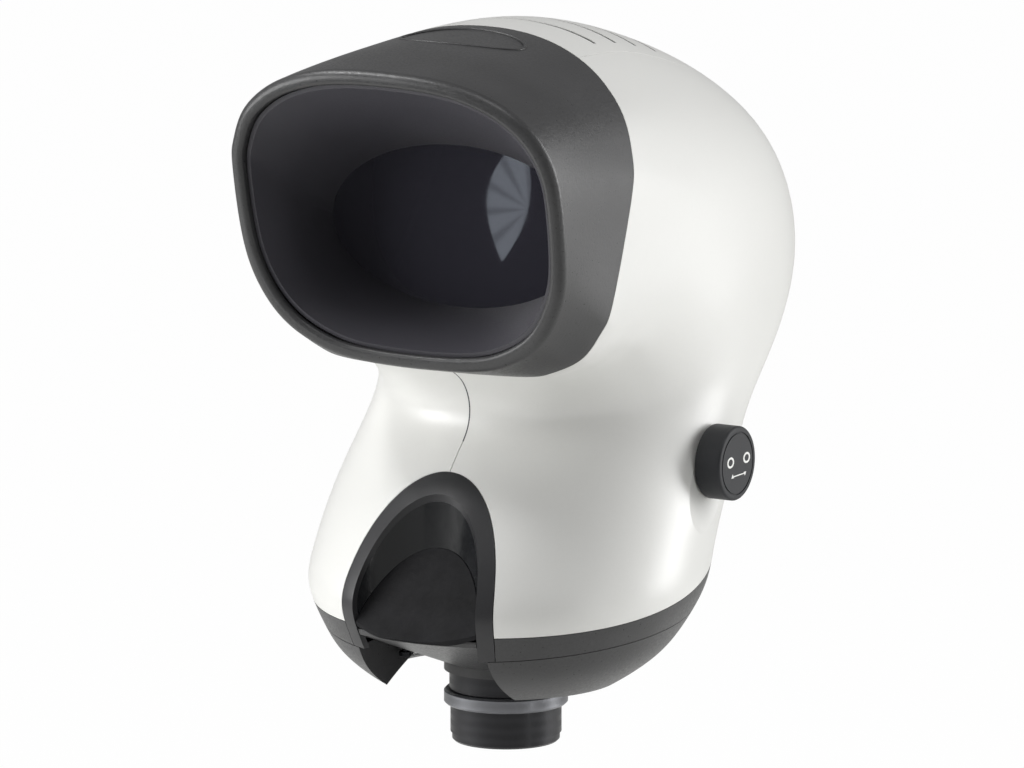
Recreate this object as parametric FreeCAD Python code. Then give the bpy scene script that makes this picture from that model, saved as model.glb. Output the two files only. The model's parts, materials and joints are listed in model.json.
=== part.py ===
import FreeCAD, Part

import math
import os

Vector = FreeCAD.Vector

# Eyepiece-less stereo viewer head. Millimetres, +Z up, the viewer's face towards -Y, +X on the right of the
# front view. The shapes are built about the objective's axis (X = Y = 0, Z = 0 at the foot of the objective)
# and moved at the end, so that the origin is the centre of the rear mounting face.

# ---- driving dimensions ----
SHELL_WALL = 2.6            # white casing
HOOD_WALL = 3.0             # dark viewing hood
LIP_WIDTH = 7.0             # rolled lip round the hood's mouth
LIP_DEPTH = 9.0
LIP_OUTER_ROUND = 4.4
LIP_INNER_ROUND = 2.2
LINER_WALL = 2.0
LINER_WAIST = 1.5           # the funnel is drawn in by this between its ends
LINER_SETBACK = 4.0         # the liner starts this far behind the hood's mouth
JOINT_GAP = 0.35            # visible joint line between mouldings
SEAT_GAP = 0.3              # clearance between curved mouldings
RUNNING_FIT = 0.05
TOUCH = 0.05                # two places nearer than this are taken as one
SCREW_FIT = 0.05

BOWL_RADIUS = 92.8          # widest ring of the bowl
SKIRT_Z = 75.0              # height of the white casing's lower edge over the objective's axis
SKIRT_SLOPE = 0.176         # the lower edge climbs towards the rear
SKIRT_CURVE = 600.0         # and bends upwards in a wide arc
SKIRT_TOP_Z = 89.0          # until it runs level round the rear
SKIRT_WALL = 3.0
SPLIT_Z = 61.5              # joint line between skirt band and cheeks
SPLIT_SLOPE = 0.096

HOOD_TOP = (-15.0, 340.0)    # hood and casing meet in a plane: its top and foot points (Y, Z)
HOOD_FOOT = (-64.5, 188.0)

ARCH_Y = -94.0              # upright round recess in the front of the bowl
ARCH_RADIUS = 34.0
ARCH_TRIM_WIDTH = 8.0
ARCH_LINER_WALL = 1.8
ARCH_TOP_Z = 150.0
TRIM_WALL = 3.0
PANEL_FOOT = (-88.0, 62.0)  # sloping panel that closes the recess (Y, Z)
PANEL_HEAD = (-60.0, 102.0)
PANEL_THICKNESS = 2.0

TRAY_FOOT_Z = 34.0          # underside tray, a shallow cone round the objective
TRAY_COLLAR_RADIUS = 29.0
TRAY_COLLAR_HEIGHT = 4.6
TRAY_RIM_RADIUS = BOWL_RADIUS - 4.8
TRAY_RISE = 0.39
TRAY_WALL = 2.5
CHEEK_HALF_GAP = 34.4       # the two cheeks leave the front of the tray open between them
CHEEK_CENTRE_Y = -6.5       # the cheeks' foot is a circle about this point, ahead of the objective's axis
CHEEK_FOOT_RADIUS = 56.5
CHEEK_FOOT_Z = 31.5
CHEEK_FLARE = 10.0          # the bowl widens by this just above the foot
CHEEK_RISE = 0.632          # the underside climbs inwards from the foot
CHEEK_WALL = 2.4

LAMP_RIM = 3.0              # lamp window in each cheek's underside, this far inside the foot
LAMP_WIDTH = 7.5
LAMP_OUTER_RADIUS = CHEEK_FOOT_RADIUS - LAMP_RIM
LAMP_INNER_RADIUS = LAMP_OUTER_RADIUS - LAMP_WIDTH
LAMP_HALF_LENGTH = 20.0
LAMP_GLASS = 1.8
LED_RISE = 2.7
LED_BOARD_THICKNESS = 1.2
LED_COUNT = 6
LED_ROW_ANGLE = 8.5
LED_RADIUS = 1.8
LED_HEIGHT = 1.4
LED_BOARD_GAP = 0.1

BARREL_RADIUS = 26.0        # objective
FOOT_RADIUS = 25.2
FOOT_HEIGHT = 4.3
BARREL_TOP_Z = 17.4
SPIGOT_RADIUS = 22.0
SPIGOT_TOP_Z = 48.0
OBJECTIVE_BORE = 18.0
GLASS_RADIUS = 20.0
GLASS_SEAT_Z = 5.0
GLASS_THICKNESS = 4.5
RETAINING_RING_WIDTH = 2.0
RETAINING_RING_Z = 1.2
COLLAR_RADIUS = 29.0        # lock collar
COLLAR_BOTTOM_Z = 17.7
COLLAR_TOP_Z = 24.6
COLLAR_FLOOR = 2.0
TURNED_EDGE = 1.0           # bevel on turned edges
SOCKET_RADIUS = 26.5        # fixed socket
SOCKET_STEP_RADIUS = 24.6
SOCKET_FLANGE_RADIUS = 33.0
SOCKET_FLANGE = 3.0

KNOB_RADIUS = 17.5          # eye-distance knob on a cross shaft
KNOB_THICKNESS = 13.6
KNOB_EDGE_ROUND = 1.6
KNOB_Y = 37.0
KNOB_Z = 135.0
KNOB_BASE_X = 89.4
KNOB_POCKET_GAP = 1.0
KNOB_DISH_X = 87.8          # bottom of the shallow dish round the knob
KNOB_DISH_RADIUS = 24.0
KNOB_DISH_CURVE = 130.0
KNOB_STEM_RADIUS = 6.0
KNOB_CAP = 3.0
KNOB_RIM = 2.6              # plain rim of the knob's face, then a ring groove
KNOB_GROOVE_WIDTH = 0.8
KNOB_GROOVE_DEPTH = 0.5
MARK_DEPTH = 0.4            # printed mark in the knob's face: two eyes over a double arrow
EYE_RADIUS = 1.9
EYE_HOLE = 1.1
EYE_SPREAD = 5.4
EYE_RISE = 1.0
ARROW_HALF = 6.4
ARROW_DROP = 5.5
ARROW_HEAD_LENGTH = 2.0
ARROW_HEAD_HALF = 1.3
ARROW_BAR_HALF = 4.6
ARROW_LINE = 0.6
SHAFT_RADIUS = 3.0
SHAFT_TAIL = 4.0
BUSH_RADIUS = 5.5
BUSH_FLANGE_RADIUS = 7.5
BUSH_FLANGE = 1.5

CARRIAGE_X = 17.0           # pupil lens carriages
CARRIAGE_LENGTH = 22.0
CARRIAGE_HUB_RADIUS = 7.0
CARRIAGE_ARM = 6.0
GUIDE_RADIUS = 2.5
GUIDE_HUB_WALL = 2.5
GUIDE_OFFSET_Y = 16.0
PUPIL_LENS_RADIUS = 8.0
PUPIL_RING = 2.5
PUPIL_LENS_THICKNESS = 3.0

WINDOW_HALF_WIDTH = 70.0    # viewing window at the bottom of the hood
WINDOW_HALF_HEIGHT = 40.0
WINDOW_Y = -43.0
WINDOW_Z = 250.5
WINDOW_POWER = 2.0
WINDOW_LAP = 1.8            # the glass reaches this far behind the liner's end
WINDOW_GLASS = 3.0

COVER_HALF_WIDTH = 49.0     # slotted top cover
COVER_REAR_Y = 88.0
COVER_FOOT_Z = 250.0
SLOT_COUNT = 4
SLOT_PITCH = 19.0
SLOT_FIRST_Y = 10.0
SLOT_HALF_LENGTH = 42.0
SLOT_WIDTH = 2.4

BADGE_Y = -40.0             # blank oval plate on top of the hood
BADGE_HALF_LENGTH = 31.0
BADGE_HALF_WIDTH = 15.0
BADGE_DEPTH = 1.4
BADGE_REACH = 40.0          # the badge lies within this of the hood's top

MOUNT_Y = 148.0             # rear mounting face
MOUNT_Z = 112.0
MOUNT_HALF_SIZE = 28.0
MOUNT_PLATE = 12.0
MOUNT_CORNER_ROUND = 4.0
MOUNT_NECK_HALF = 20.0
MOUNT_OPENING_GAP = 0.6
BOLT_SPACING = 38.0
BOLT_RADIUS = 2.5
MOUNT_SCREW_SPACING = 26.0
MOUNT_SCREW_RADIUS = 2.0
MOUNT_SCREW_HEAD_RADIUS = 3.5
MOUNT_SCREW_HEAD = 3.0
MOUNT_SCREW_DEPTH = 12.0

SHELF_Z = 66.0              # optical chassis
SHELF_THICKNESS = 5.0
SHELF_RADIUS = 76.0
SHELF_HALF_WIDTH = 56.0
SHELF_FRONT_Y = -52.0
COLUMN_FRONT_Y = 64.0
COLUMN_THICKNESS = 8.0
COLUMN_HALF_WIDTH = 28.0
COLUMN_TOP_Z = 200.0
LIGHT_PATH_RADIUS = 24.0
POST_RADIUS = 4.0
POSTS = [(30.0, -42.0), (24.0, 50.0)]
TRAY_SCREW_RADIUS = 1.5
TRAY_SCREW_HEAD_RADIUS = 3.0
TRAY_SCREW_HEAD = 1.8
TRAY_SCREW_DEPTH = 8.0

SIDE_PLATE_X = 52.0         # plates that carry the shaft and the mirrors
SIDE_PLATE = 4.0
PLATE_GAP = 1.0
SIDE_PLATE_OUTLINE = [(-30.0, 71.0), (48.0, 71.0), (72.0, 110.0), (76.0, 175.0), (126.0, 200.0),
                      (126.0, 262.0), (104.0, 276.0), (40.0, 278.0), (-26.0, 200.0)]
SPLITTER_CENTRE = (4.0, 226.0)
SPLITTER_LENGTH = 84.0
SPLITTER_THICKNESS = 3.0
FIELD_MIRROR_Y = 112.0
FIELD_MIRROR_Z = 232.0
FIELD_MIRROR_RADIUS = 51.5
FIELD_MIRROR_EDGE = 10.0
FIELD_MIRROR_CURVE = 400.0
FIELD_MIRROR_SAG = 4.0
MIRROR_CELL = 3.0
MIRROR_CELL_HALF_HEIGHT = 30.0

BOARD_STANDOFF = 2.5        # control board behind the column
STANDOFF_RADIUS = 2.5
BOARD_THICKNESS = 1.6
BOARD_HALF_WIDTH = 46.0
BOARD_LOW_Z = 74.0
BOARD_HIGH_Z = 107.0
INLET_X = -40.0
INLET_Z = 98.0
INLET_RADIUS = 5.5
INLET_BORE = 2.8
INLET_BORE_DEPTH = 9.0
INLET_FACE_Y = 98.5
INLET_PIN_RADIUS = 1.0
SWITCH_X = 40.0
SWITCH_HALF = 6.0
SWITCH_DEPTH = 7.0
SWITCH_FLOOR = 3.0
STEM_RADIUS = 2.0
BUTTON_RADIUS = 4.5
BUTTON_FACE_Y = 99.5
BUTTON_TRAVEL = 1.5
BUTTON_EDGE_ROUND = 0.8


def box(low, high):
    """Box between two opposite corners."""
    size = [b - a for a, b in zip(low, high)]
    return Part.makeBox(*size, Vector(*low))


def rod(radius, start, end):
    """Round bar from one point to another."""
    a = Vector(*start)
    b = Vector(*end)
    return Part.makeCylinder(radius, a.distanceToPoint(b), a, b - a)


def ring_bar(outer, inner, start, end):
    """Round tube from one point to another."""
    return rod(outer, start, end).cut(rod(inner, start, end))


def mirrored(shape):
    """The same shape on the other side of the middle plane X = 0."""
    return shape.mirror(Vector(0, 0, 0), Vector(1, 0, 0))


def spun(profile):
    """Solid turned about the objective's axis from (radius, height) corners."""
    points = [Vector(r, 0, z) for r, z in profile]
    wire = Part.makePolygon(points + points[:1])
    return Part.Face(wire).revolve(Vector(0, 0, 0), Vector(0, 0, 1), 360)


# ---- outer form ----
# Each station is one cross-section from the hood's mouth, round the bend at the waist and down the bowl.
# It is given by its low or front end and its high or rear end in the middle plane (Y, Z), its half-width,
# the two powers that set how square its front and rear halves are, and where along it the widest place is.
STATIONS = [
    ((-86.0, 190.5), (-115.5, 333.0), 87.4, 2.85, 2.55, 0.59),
    ((-78.0, 189.0), (-80.0, 336.8), 87.8, 3.3, 2.4, 0.57),
    ((-69.5, 187.2), (-44.0, 339.2), 88.2, 4.0, 2.25, 0.55),
    ((-60.5, 185.8), (-8.0, 340.3), 88.6, 4.6, 2.15, 0.53),
    ((-52.0, 184.0), (29.0, 338.0), 89.2, 4.2, 2.1, 0.51),
    ((-45.0, 180.5), (66.5, 328.5), 90.0, 3.6, 2.15, 0.5),
    ((-39.5, 176.0), (104.0, 313.5), 91.0, 3.0, 2.3, 0.5),
    ((-36.0, 171.0), (138.0, 291.0), 92.0, 2.6, 2.55, 0.5),
    ((-34.2, 166.5), (163.0, 260.5), 92.5, 2.35, 2.6, 0.5),
    ((-33.6, 162.0), (174.5, 224.0), 91.5, 2.15, 2.42, 0.5),
    ((-34.4, 157.0), (165.0, 189.5), 89.7, 2.0, 2.18, 0.5),
    ((-38.5, 150.0), (145.5, 161.0), 88.6, 2.0, 2.0, 0.5),
    ((-47.5, 141.0), (130.5, 141.0), 89.2, 2.0, 2.0, 0.5),
    ((-60.0, 127.0), (121.0, 127.0), 91.0, 2.0, 2.0, 0.5),
    ((-73.5, 110.0), (110.5, 110.0), 92.6, 2.0, 2.0, 0.5),
    ((-85.5, 92.0), (101.5, 92.0), 93.4, 2.0, 2.0, 0.5),
    ((-91.5, 76.0), (94.5, 76.0), BOWL_RADIUS, 2.0, 2.0, 0.5),
    ((-87.5, 61.0), (85.3, 61.0), 86.4, 2.0, 2.0, 0.5),
    ((-80.6, 47.0), (73.2, 47.0), 76.9, 2.0, 2.0, 0.5),
    ((-5.5 - CHEEK_FOOT_RADIUS - CHEEK_FLARE, 38.0), (CHEEK_FOOT_RADIUS + CHEEK_FLARE - 5.5, 38.0),
     CHEEK_FOOT_RADIUS + CHEEK_FLARE, 2.0, 2.0, 0.5),
    ((CHEEK_CENTRE_Y - CHEEK_FOOT_RADIUS, CHEEK_FOOT_Z), (CHEEK_CENTRE_Y + CHEEK_FOOT_RADIUS, CHEEK_FOOT_Z),
     CHEEK_FOOT_RADIUS, 2.0, 2.0, 0.5),
    ((CHEEK_CENTRE_Y - CHEEK_FOOT_RADIUS + CHEEK_FLARE, 26.0),
     (CHEEK_CENTRE_Y + CHEEK_FOOT_RADIUS - CHEEK_FLARE, 26.0),
     CHEEK_FOOT_RADIUS - CHEEK_FLARE, 2.0, 2.0, 0.5),
]
SECTION_POINTS = 28


def section_curve(front, rear, half_width, front_power, rear_power, widest, inset):
    """Closed smooth curve of one station, drawn in by the inset."""
    low = Vector(0, *front)
    high = Vector(0, *rear)
    run = (high - low).normalize()
    length = low.distanceToPoint(high)
    centre = low + run * length * widest
    front_reach = length * widest - inset
    rear_reach = length * (1 - widest) - inset
    half_width = half_width - inset
    points = []
    for index in range(SECTION_POINTS):
        angle = 2 * math.pi * index / SECTION_POINTS - math.pi / 2
        across = math.sin(angle)
        along = -math.cos(angle)
        power = front_power if along < 0 else rear_power
        reach = front_reach if along < 0 else rear_reach
        x = half_width * math.copysign(abs(across) ** (2 / power), across)
        s = reach * math.copysign(abs(along) ** (2 / power), along)
        points.append(centre + run * s + Vector(x, 0, 0))
    shares = [index / SECTION_POINTS for index in range(SECTION_POINTS + 1)]
    curve = Part.BSplineCurve()
    curve.interpolate(Points=points, PeriodicFlag=True, Parameters=shares)
    return curve


def travel(stations):
    """Distance along the form to each station, the mean of its front and rear ends."""
    distances = [0.0]
    for before, after in zip(stations, stations[1:]):
        front = math.dist(before[0], after[0])
        rear = math.dist(before[1], after[1])
        distances.append(distances[-1] + (front + rear) / 2)
    return distances


def skinned(stations, inset=0.0):
    """Smooth solid through every station, drawn in by the inset."""
    sections = [section_curve(*station, inset) for station in stations]
    distances = travel(stations)
    rows = []
    for poles in zip(*(section.getPoles() for section in sections)):
        column = Part.BSplineCurve()
        column.interpolate(Points=list(poles), Parameters=distances)
        rows.append(column.getPoles())
    skin = Part.BSplineSurface()
    skin.buildFromPolesMultsKnots(
        rows, sections[0].getMultiplicities(), column.getMultiplicities(),
        sections[0].getKnots(), column.getKnots(), True, False, sections[0].Degree, column.Degree)
    caps = [Part.Face(Part.Wire([skin.vIso(distance).toShape()])) for distance in (0.0, distances[-1])]
    shell = Part.makeShell([skin.toShape()] + caps)
    shell.sewShape()
    solid = Part.makeSolid(shell)
    if solid.Volume < 0:
        solid.reverse()
    return solid


def envelope(inset=0.0):
    """Outer form of hood, casing and bowl, drawn in by the inset."""
    return skinned(STATIONS, inset)


REACH = 400.0               # larger than the whole object: half spaces are boxes of this size


def half_space(point, direction):
    """Everything on the side of a plane that the unit direction (Y, Z) points to; it holds the X axis."""
    block = Part.makeBox(2 * REACH, 2 * REACH, REACH, Vector(-REACH, -REACH, 0))
    turn = math.degrees(math.atan2(-direction[0], direction[1]))
    block.rotate(Vector(0, 0, 0), Vector(1, 0, 0), turn)
    block.translate(Vector(0, *point))
    return block


def unit(y, z):
    """Direction (Y, Z) of length one."""
    length = math.hypot(y, z)
    return (y / length, z / length)


def hood_side(shift=0.0):
    """Space in front of the plane where hood and casing meet, with the plane moved forward by the shift."""
    forward = unit(HOOD_FOOT[1] - HOOD_TOP[1], HOOD_TOP[0] - HOOD_FOOT[0])
    point = (HOOD_FOOT[0] + forward[0] * shift, HOOD_FOOT[1] + forward[1] * shift)
    return half_space(point, forward)


def below_skirt(drop=0.0):
    """Space under the casing's curved lower edge, lowered by the drop."""
    tilt = math.atan(SKIRT_SLOPE)
    centre_y = -SKIRT_CURVE * math.sin(tilt)
    centre_z = SKIRT_Z + SKIRT_CURVE * math.cos(tilt) - drop
    block = box((-REACH / 2, -REACH / 2, -REACH / 4), (REACH / 2, REACH / 2, SKIRT_TOP_Z - drop))
    return block.cut(rod(SKIRT_CURVE, (-REACH, centre_y, centre_z), (REACH, centre_y, centre_z)))


def below_split(drop=0.0):
    """Space under the joint line between skirt band and cheeks, lowered by the drop."""
    return half_space((0, SPLIT_Z - drop), unit(SPLIT_SLOPE, -1))


def arch_core(radius):
    """Upright round bar that cuts the arch into the front of the bowl."""
    return rod(radius, (0, ARCH_Y, 0), (0, ARCH_Y, ARCH_TOP_Z))


def mouth_out():
    """Direction (Y, Z) that points out of the hood's mouth."""
    front, rear = STATIONS[0][0], STATIONS[0][1]
    return unit(front[1] - rear[1], rear[0] - front[0])


def on_profile(end, depth):
    """Point (Y, Z) of the hood's foot (end 0) or top (end 1) profile at a depth behind the mouth."""
    first, second = STATIONS[0][end], STATIONS[1][end]
    out = mouth_out()
    step = (first[0] - second[0]) * out[0] + (first[1] - second[1]) * out[1]
    return tuple(a + (b - a) * depth / step for a, b in zip(first, second))


def behind_mouth(point, depth):
    """Point (Y, Z) moved into the hood by a depth."""
    out = mouth_out()
    return (point[0] - out[0] * depth, point[1] - out[1] * depth)


def tray_height(radius):
    """Height of the tray's underside at a distance from the objective's axis."""
    return TRAY_FOOT_Z + TRAY_COLLAR_HEIGHT + (radius - TRAY_COLLAR_RADIUS) * TRAY_RISE


def cheek_height(radius):
    """Height of the cheeks' sloping underside at a distance from the middle of their foot."""
    return CHEEK_FOOT_Z + (CHEEK_FOOT_RADIUS - radius) * CHEEK_RISE


# ---- housing ----
def viewing_hood(outer):
    """Dark hood: a shell with a rolled lip round its mouth and a shallow well for the badge plate."""
    region = outer.common(hood_side(JOINT_GAP / 2))
    front, rear = STATIONS[0][0], STATIONS[0][1]
    out = mouth_out()
    band = half_space(behind_mouth(front, LIP_DEPTH), out)
    lip = region.common(band).cut(envelope(LIP_WIDTH))
    shell = region.cut(band).cut(envelope(HOOD_WALL))
    hood = shell.fuse(lip).removeSplitter()
    for face in hood.Faces:
        heights = [(v.Point.y - front[0]) * out[0] + (v.Point.z - front[1]) * out[1] for v in face.Vertexes]
        if max(abs(height) for height in heights) < TOUCH:
            mouth = face
    outer_edges = mouth.OuterWire.Edges
    inner_edges = [edge for wire in mouth.Wires if not wire.isSame(mouth.OuterWire) for edge in wire.Edges]
    outer_points = [edge.CenterOfMass for edge in outer_edges]
    hood = hood.makeFillet(LIP_INNER_ROUND, inner_edges)
    rim = [edge for edge in hood.Edges
           if any(edge.CenterOfMass.distanceToPoint(point) < TOUCH for point in outer_points)]
    hood = hood.makeFillet(LIP_OUTER_ROUND, rim)
    return hood.cut(badge_prism(SEAT_GAP / 2).cut(envelope(BADGE_DEPTH)))


def badge_prism(grow=0.0):
    """Upright oval bar over the badge's place."""
    oval = Part.Ellipse(Vector(0, BADGE_Y, HOOD_FOOT[1]), BADGE_HALF_LENGTH + grow, BADGE_HALF_WIDTH + grow)
    bar = Part.Face(Part.Wire([oval.toShape()])).extrude(Vector(0, 0, REACH))
    return bar.common(box((-REACH, -REACH, HOOD_TOP[1] - BADGE_REACH), (REACH, REACH, REACH)))


def hood_badge_plate():
    """Blank oval plate that lies in the hood's well."""
    return badge_prism().common(envelope(SEAT_GAP)).cut(envelope(BADGE_DEPTH - 0.01))


def liner_stations():
    """Funnel from just inside the lip to the viewing window."""
    front, rear, half_width, front_power, rear_power, widest = STATIONS[0]
    inset = LIP_WIDTH + SEAT_GAP
    run = unit(rear[0] - front[0], rear[1] - front[1])
    low, high = on_profile(0, LINER_SETBACK), on_profile(1, LINER_SETBACK)
    low = (low[0] + run[0] * inset, low[1] + run[1] * inset)
    high = (high[0] - run[0] * inset, high[1] - run[1] * inset)
    end_low = (WINDOW_Y, WINDOW_Z - WINDOW_HALF_HEIGHT)
    end_high = (WINDOW_Y, WINDOW_Z + WINDOW_HALF_HEIGHT)
    stations = []
    for share, draw_in in ((0.0, 0.0), (0.35, LINER_WAIST), (0.7, LINER_WAIST), (1.0, 0.0)):
        middle_low = tuple(a + (b - a) * share for a, b in zip(low, end_low))
        middle_high = tuple(a + (b - a) * share for a, b in zip(high, end_high))
        width = half_width - inset + (WINDOW_HALF_WIDTH - half_width + inset) * share
        powers = [power + (WINDOW_POWER - power) * share for power in (front_power, rear_power)]
        stations.append(((middle_low[0], middle_low[1] + draw_in), (middle_high[0], middle_high[1] - draw_in),
                         width - draw_in, *powers, widest + (0.5 - widest) * share))
    return stations


def hood_liner():
    """Dark funnel between the lip and the viewing window."""
    stations = liner_stations()
    return skinned(stations).cut(skinned(stations, LINER_WALL))


def viewing_window():
    """Glass behind the liner's end."""
    low = (WINDOW_Y, WINDOW_Z - WINDOW_HALF_HEIGHT - WINDOW_LAP)
    high = (WINDOW_Y, WINDOW_Z + WINDOW_HALF_HEIGHT + WINDOW_LAP)
    curve = section_curve(low, high, WINDOW_HALF_WIDTH + WINDOW_LAP, WINDOW_POWER, WINDOW_POWER, 0.5, 0.0)
    face = Part.Face(Part.Wire([curve.toShape()]))
    return face.extrude(Vector(0, WINDOW_GLASS, 0))


def knob_axis_rod(radius, start_x, end_x):
    """Round bar on the knob's axis."""
    return rod(radius, (start_x, KNOB_Y, KNOB_Z), (end_x, KNOB_Y, KNOB_Z))


def knob_dish(deeper=0.0):
    """Large ball whose side makes the shallow dish round the knob."""
    return Part.makeSphere(KNOB_DISH_CURVE + deeper, Vector(KNOB_DISH_X + KNOB_DISH_CURVE, KNOB_Y, KNOB_Z))


def casings(outer):
    """White casing, both halves: bent shell with its dish and openings."""
    shell = outer.cut(envelope(SHELL_WALL))
    backing = knob_axis_rod(KNOB_DISH_RADIUS + SHELL_WALL, KNOB_DISH_X - SHELL_WALL * 2, REACH).common(outer)
    shell = shell.fuse(backing.common(knob_dish(SHELL_WALL))).cut(knob_dish())
    shell = shell.cut(knob_axis_rod(KNOB_STEM_RADIUS + KNOB_POCKET_GAP, 0, REACH))
    shell = shell.cut(hood_side(-JOINT_GAP / 2)).cut(below_skirt(-JOINT_GAP / 2))
    shell = shell.cut(arch_core(ARCH_RADIUS + ARCH_TRIM_WIDTH + JOINT_GAP))
    shell = shell.cut(cover_block(JOINT_GAP))
    opening = MOUNT_NECK_HALF + MOUNT_OPENING_GAP
    shell = shell.cut(box((-opening, COLUMN_FRONT_Y, MOUNT_Z - opening), (opening, REACH, MOUNT_Z + opening)))
    for x, radius in ((INLET_X, INLET_RADIUS), (SWITCH_X, BUTTON_RADIUS)):
        shell = shell.cut(rod(radius + SEAT_GAP, (x, COLUMN_FRONT_Y, INLET_Z), (x, REACH, INLET_Z)))
    half_gap = JOINT_GAP / 2
    right = shell.common(box((half_gap, -REACH, 0), (REACH, REACH, REACH)))
    left = shell.common(box((-REACH, -REACH, 0), (-half_gap, REACH, REACH)))
    return left, right


def cover_block(grow=0.0):
    """Upright block over the top cover's place."""
    corner = (COVER_HALF_WIDTH + grow, COVER_REAR_Y + grow, REACH)
    return box((-COVER_HALF_WIDTH - grow, HOOD_FOOT[0], COVER_FOOT_Z), corner)


def top_cover(outer):
    """White cover with a row of cross slots."""
    cover = outer.common(cover_block()).cut(envelope(SHELL_WALL)).cut(hood_side(-JOINT_GAP / 2))
    for index in range(SLOT_COUNT):
        middle = SLOT_FIRST_Y + index * SLOT_PITCH
        cover = cover.cut(box((-SLOT_HALF_LENGTH, middle - SLOT_WIDTH / 2, COVER_FOOT_Z),
                              (SLOT_HALF_LENGTH, middle + SLOT_WIDTH / 2, REACH)))
    return cover


def arch_trim(outer):
    """Dark bezel that follows the bowl round the arch."""
    skin = outer.cut(envelope(TRIM_WALL)).cut(below_split(-JOINT_GAP / 2))
    return skin.common(arch_core(ARCH_RADIUS + ARCH_TRIM_WIDTH)).cut(arch_core(ARCH_RADIUS))


def arch_liner():
    """Upright round wall of the recess behind the bezel."""
    wall = arch_core(ARCH_RADIUS + ARCH_LINER_WALL).cut(arch_core(ARCH_RADIUS))
    wall = wall.common(envelope(TRIM_WALL + 0.01))
    return wall.cut(half_space((0, PANEL_FOOT[1]), (0, -1)))


def panel_slab(low, high):
    """Sloping slab between two depths behind the panel's front face."""
    inward = unit(PANEL_HEAD[1] - PANEL_FOOT[1], PANEL_FOOT[0] - PANEL_HEAD[0])
    near = half_space((PANEL_FOOT[0] + inward[0] * low, PANEL_FOOT[1] + inward[1] * low), inward)
    far = half_space((PANEL_FOOT[0] + inward[0] * high, PANEL_FOOT[1] + inward[1] * high), inward)
    return near.cut(far)


def arch_panel():
    """Sloping panel that closes the recess."""
    panel = panel_slab(0.0, PANEL_THICKNESS).common(arch_core(ARCH_RADIUS - JOINT_GAP))
    return panel.common(envelope(JOINT_GAP)).cut(half_space((0, PANEL_FOOT[1]), (0, -1)))


def skirt_band(outer):
    """Dark band under the white casing."""
    band = outer.cut(envelope(SKIRT_WALL)).common(below_skirt(JOINT_GAP / 2))
    band = band.cut(below_split(-JOINT_GAP / 2))
    return band.cut(arch_core(ARCH_RADIUS + ARCH_TRIM_WIDTH + JOINT_GAP))


def underside_tray():
    """Shallow cone under the head with a collar round the objective's socket."""
    inner = SOCKET_RADIUS + RUNNING_FIT
    foot = TRAY_FOOT_Z + TRAY_COLLAR_HEIGHT
    tray = spun([(inner, TRAY_FOOT_Z), (TRAY_COLLAR_RADIUS, TRAY_FOOT_Z), (TRAY_COLLAR_RADIUS, foot),
                 (TRAY_RIM_RADIUS, tray_height(TRAY_RIM_RADIUS)),
                 (TRAY_RIM_RADIUS, tray_height(TRAY_RIM_RADIUS) + TRAY_WALL),
                 (TRAY_COLLAR_RADIUS, foot + TRAY_WALL), (inner, foot + TRAY_WALL)])
    inside = tray.common(envelope(SKIRT_WALL + SEAT_GAP))
    lip_half = CHEEK_HALF_GAP - JOINT_GAP
    lip = tray.common(envelope(JOINT_GAP))
    lip = lip.common(box((-lip_half, -REACH, 0), (lip_half, ARCH_Y + ARCH_RADIUS / 2, REACH)))
    tray = inside.fuse(lip.cut(arch_trim_reach())).removeSplitter().cut(arch_panel_reach())
    for x, y in post_places():
        tray = tray.cut(rod(TRAY_SCREW_RADIUS + SCREW_FIT, (x, y, 0), (x, y, SHELF_Z)))
        head_seat = tray_height(math.hypot(x, y) - TRAY_SCREW_HEAD_RADIUS)
        tray = tray.cut(rod(TRAY_SCREW_HEAD_RADIUS + SEAT_GAP, (x, y, 0), (x, y, head_seat)))
    return tray


def arch_trim_reach():
    """Space of the bezel's legs with its clearance."""
    return arch_core(REACH).cut(arch_core(ARCH_RADIUS - JOINT_GAP))


def arch_panel_reach():
    """Space of the sloping panel with its clearance, so that the tray stops behind it."""
    inward = unit(PANEL_HEAD[1] - PANEL_FOOT[1], PANEL_FOOT[0] - PANEL_HEAD[0])
    back = PANEL_THICKNESS + JOINT_GAP
    behind = half_space((PANEL_FOOT[0] + inward[0] * back, PANEL_FOOT[1] + inward[1] * back), inward)
    above = half_space((0, PANEL_FOOT[1] - JOINT_GAP), (0, 1))
    slot = arch_core(ARCH_RADIUS + ARCH_LINER_WALL + JOINT_GAP).common(above).cut(behind)
    wall = arch_core(ARCH_RADIUS + ARCH_LINER_WALL + JOINT_GAP).cut(arch_core(ARCH_RADIUS - JOINT_GAP))
    return slot.fuse(wall.common(above))


def post_places():
    """Places (X, Y) of the four posts between tray and shelf."""
    return [(side * x, y) for x, y in POSTS for side in (-1, 1)]


def cheek_cone(lift=0.0):
    """Upright cone under the cheeks, raised by the lift: its side is their sloping underside."""
    foot = CHEEK_FOOT_Z + lift
    base_radius = CHEEK_FOOT_RADIUS + CHEEK_FOOT_Z / CHEEK_RISE
    height = base_radius * CHEEK_RISE
    return Part.makeCone(base_radius, 0, height, Vector(0, CHEEK_CENTRE_Y, foot - CHEEK_FOOT_Z))


def above_tray():
    """Space over the tray's underside, with the clearance of a seat."""
    apex = tray_height(0) - SEAT_GAP
    top = tray_height(REACH / 2) - SEAT_GAP
    return Part.makeCone(0, REACH / 2, top - apex, Vector(0, 0, apex))


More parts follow.
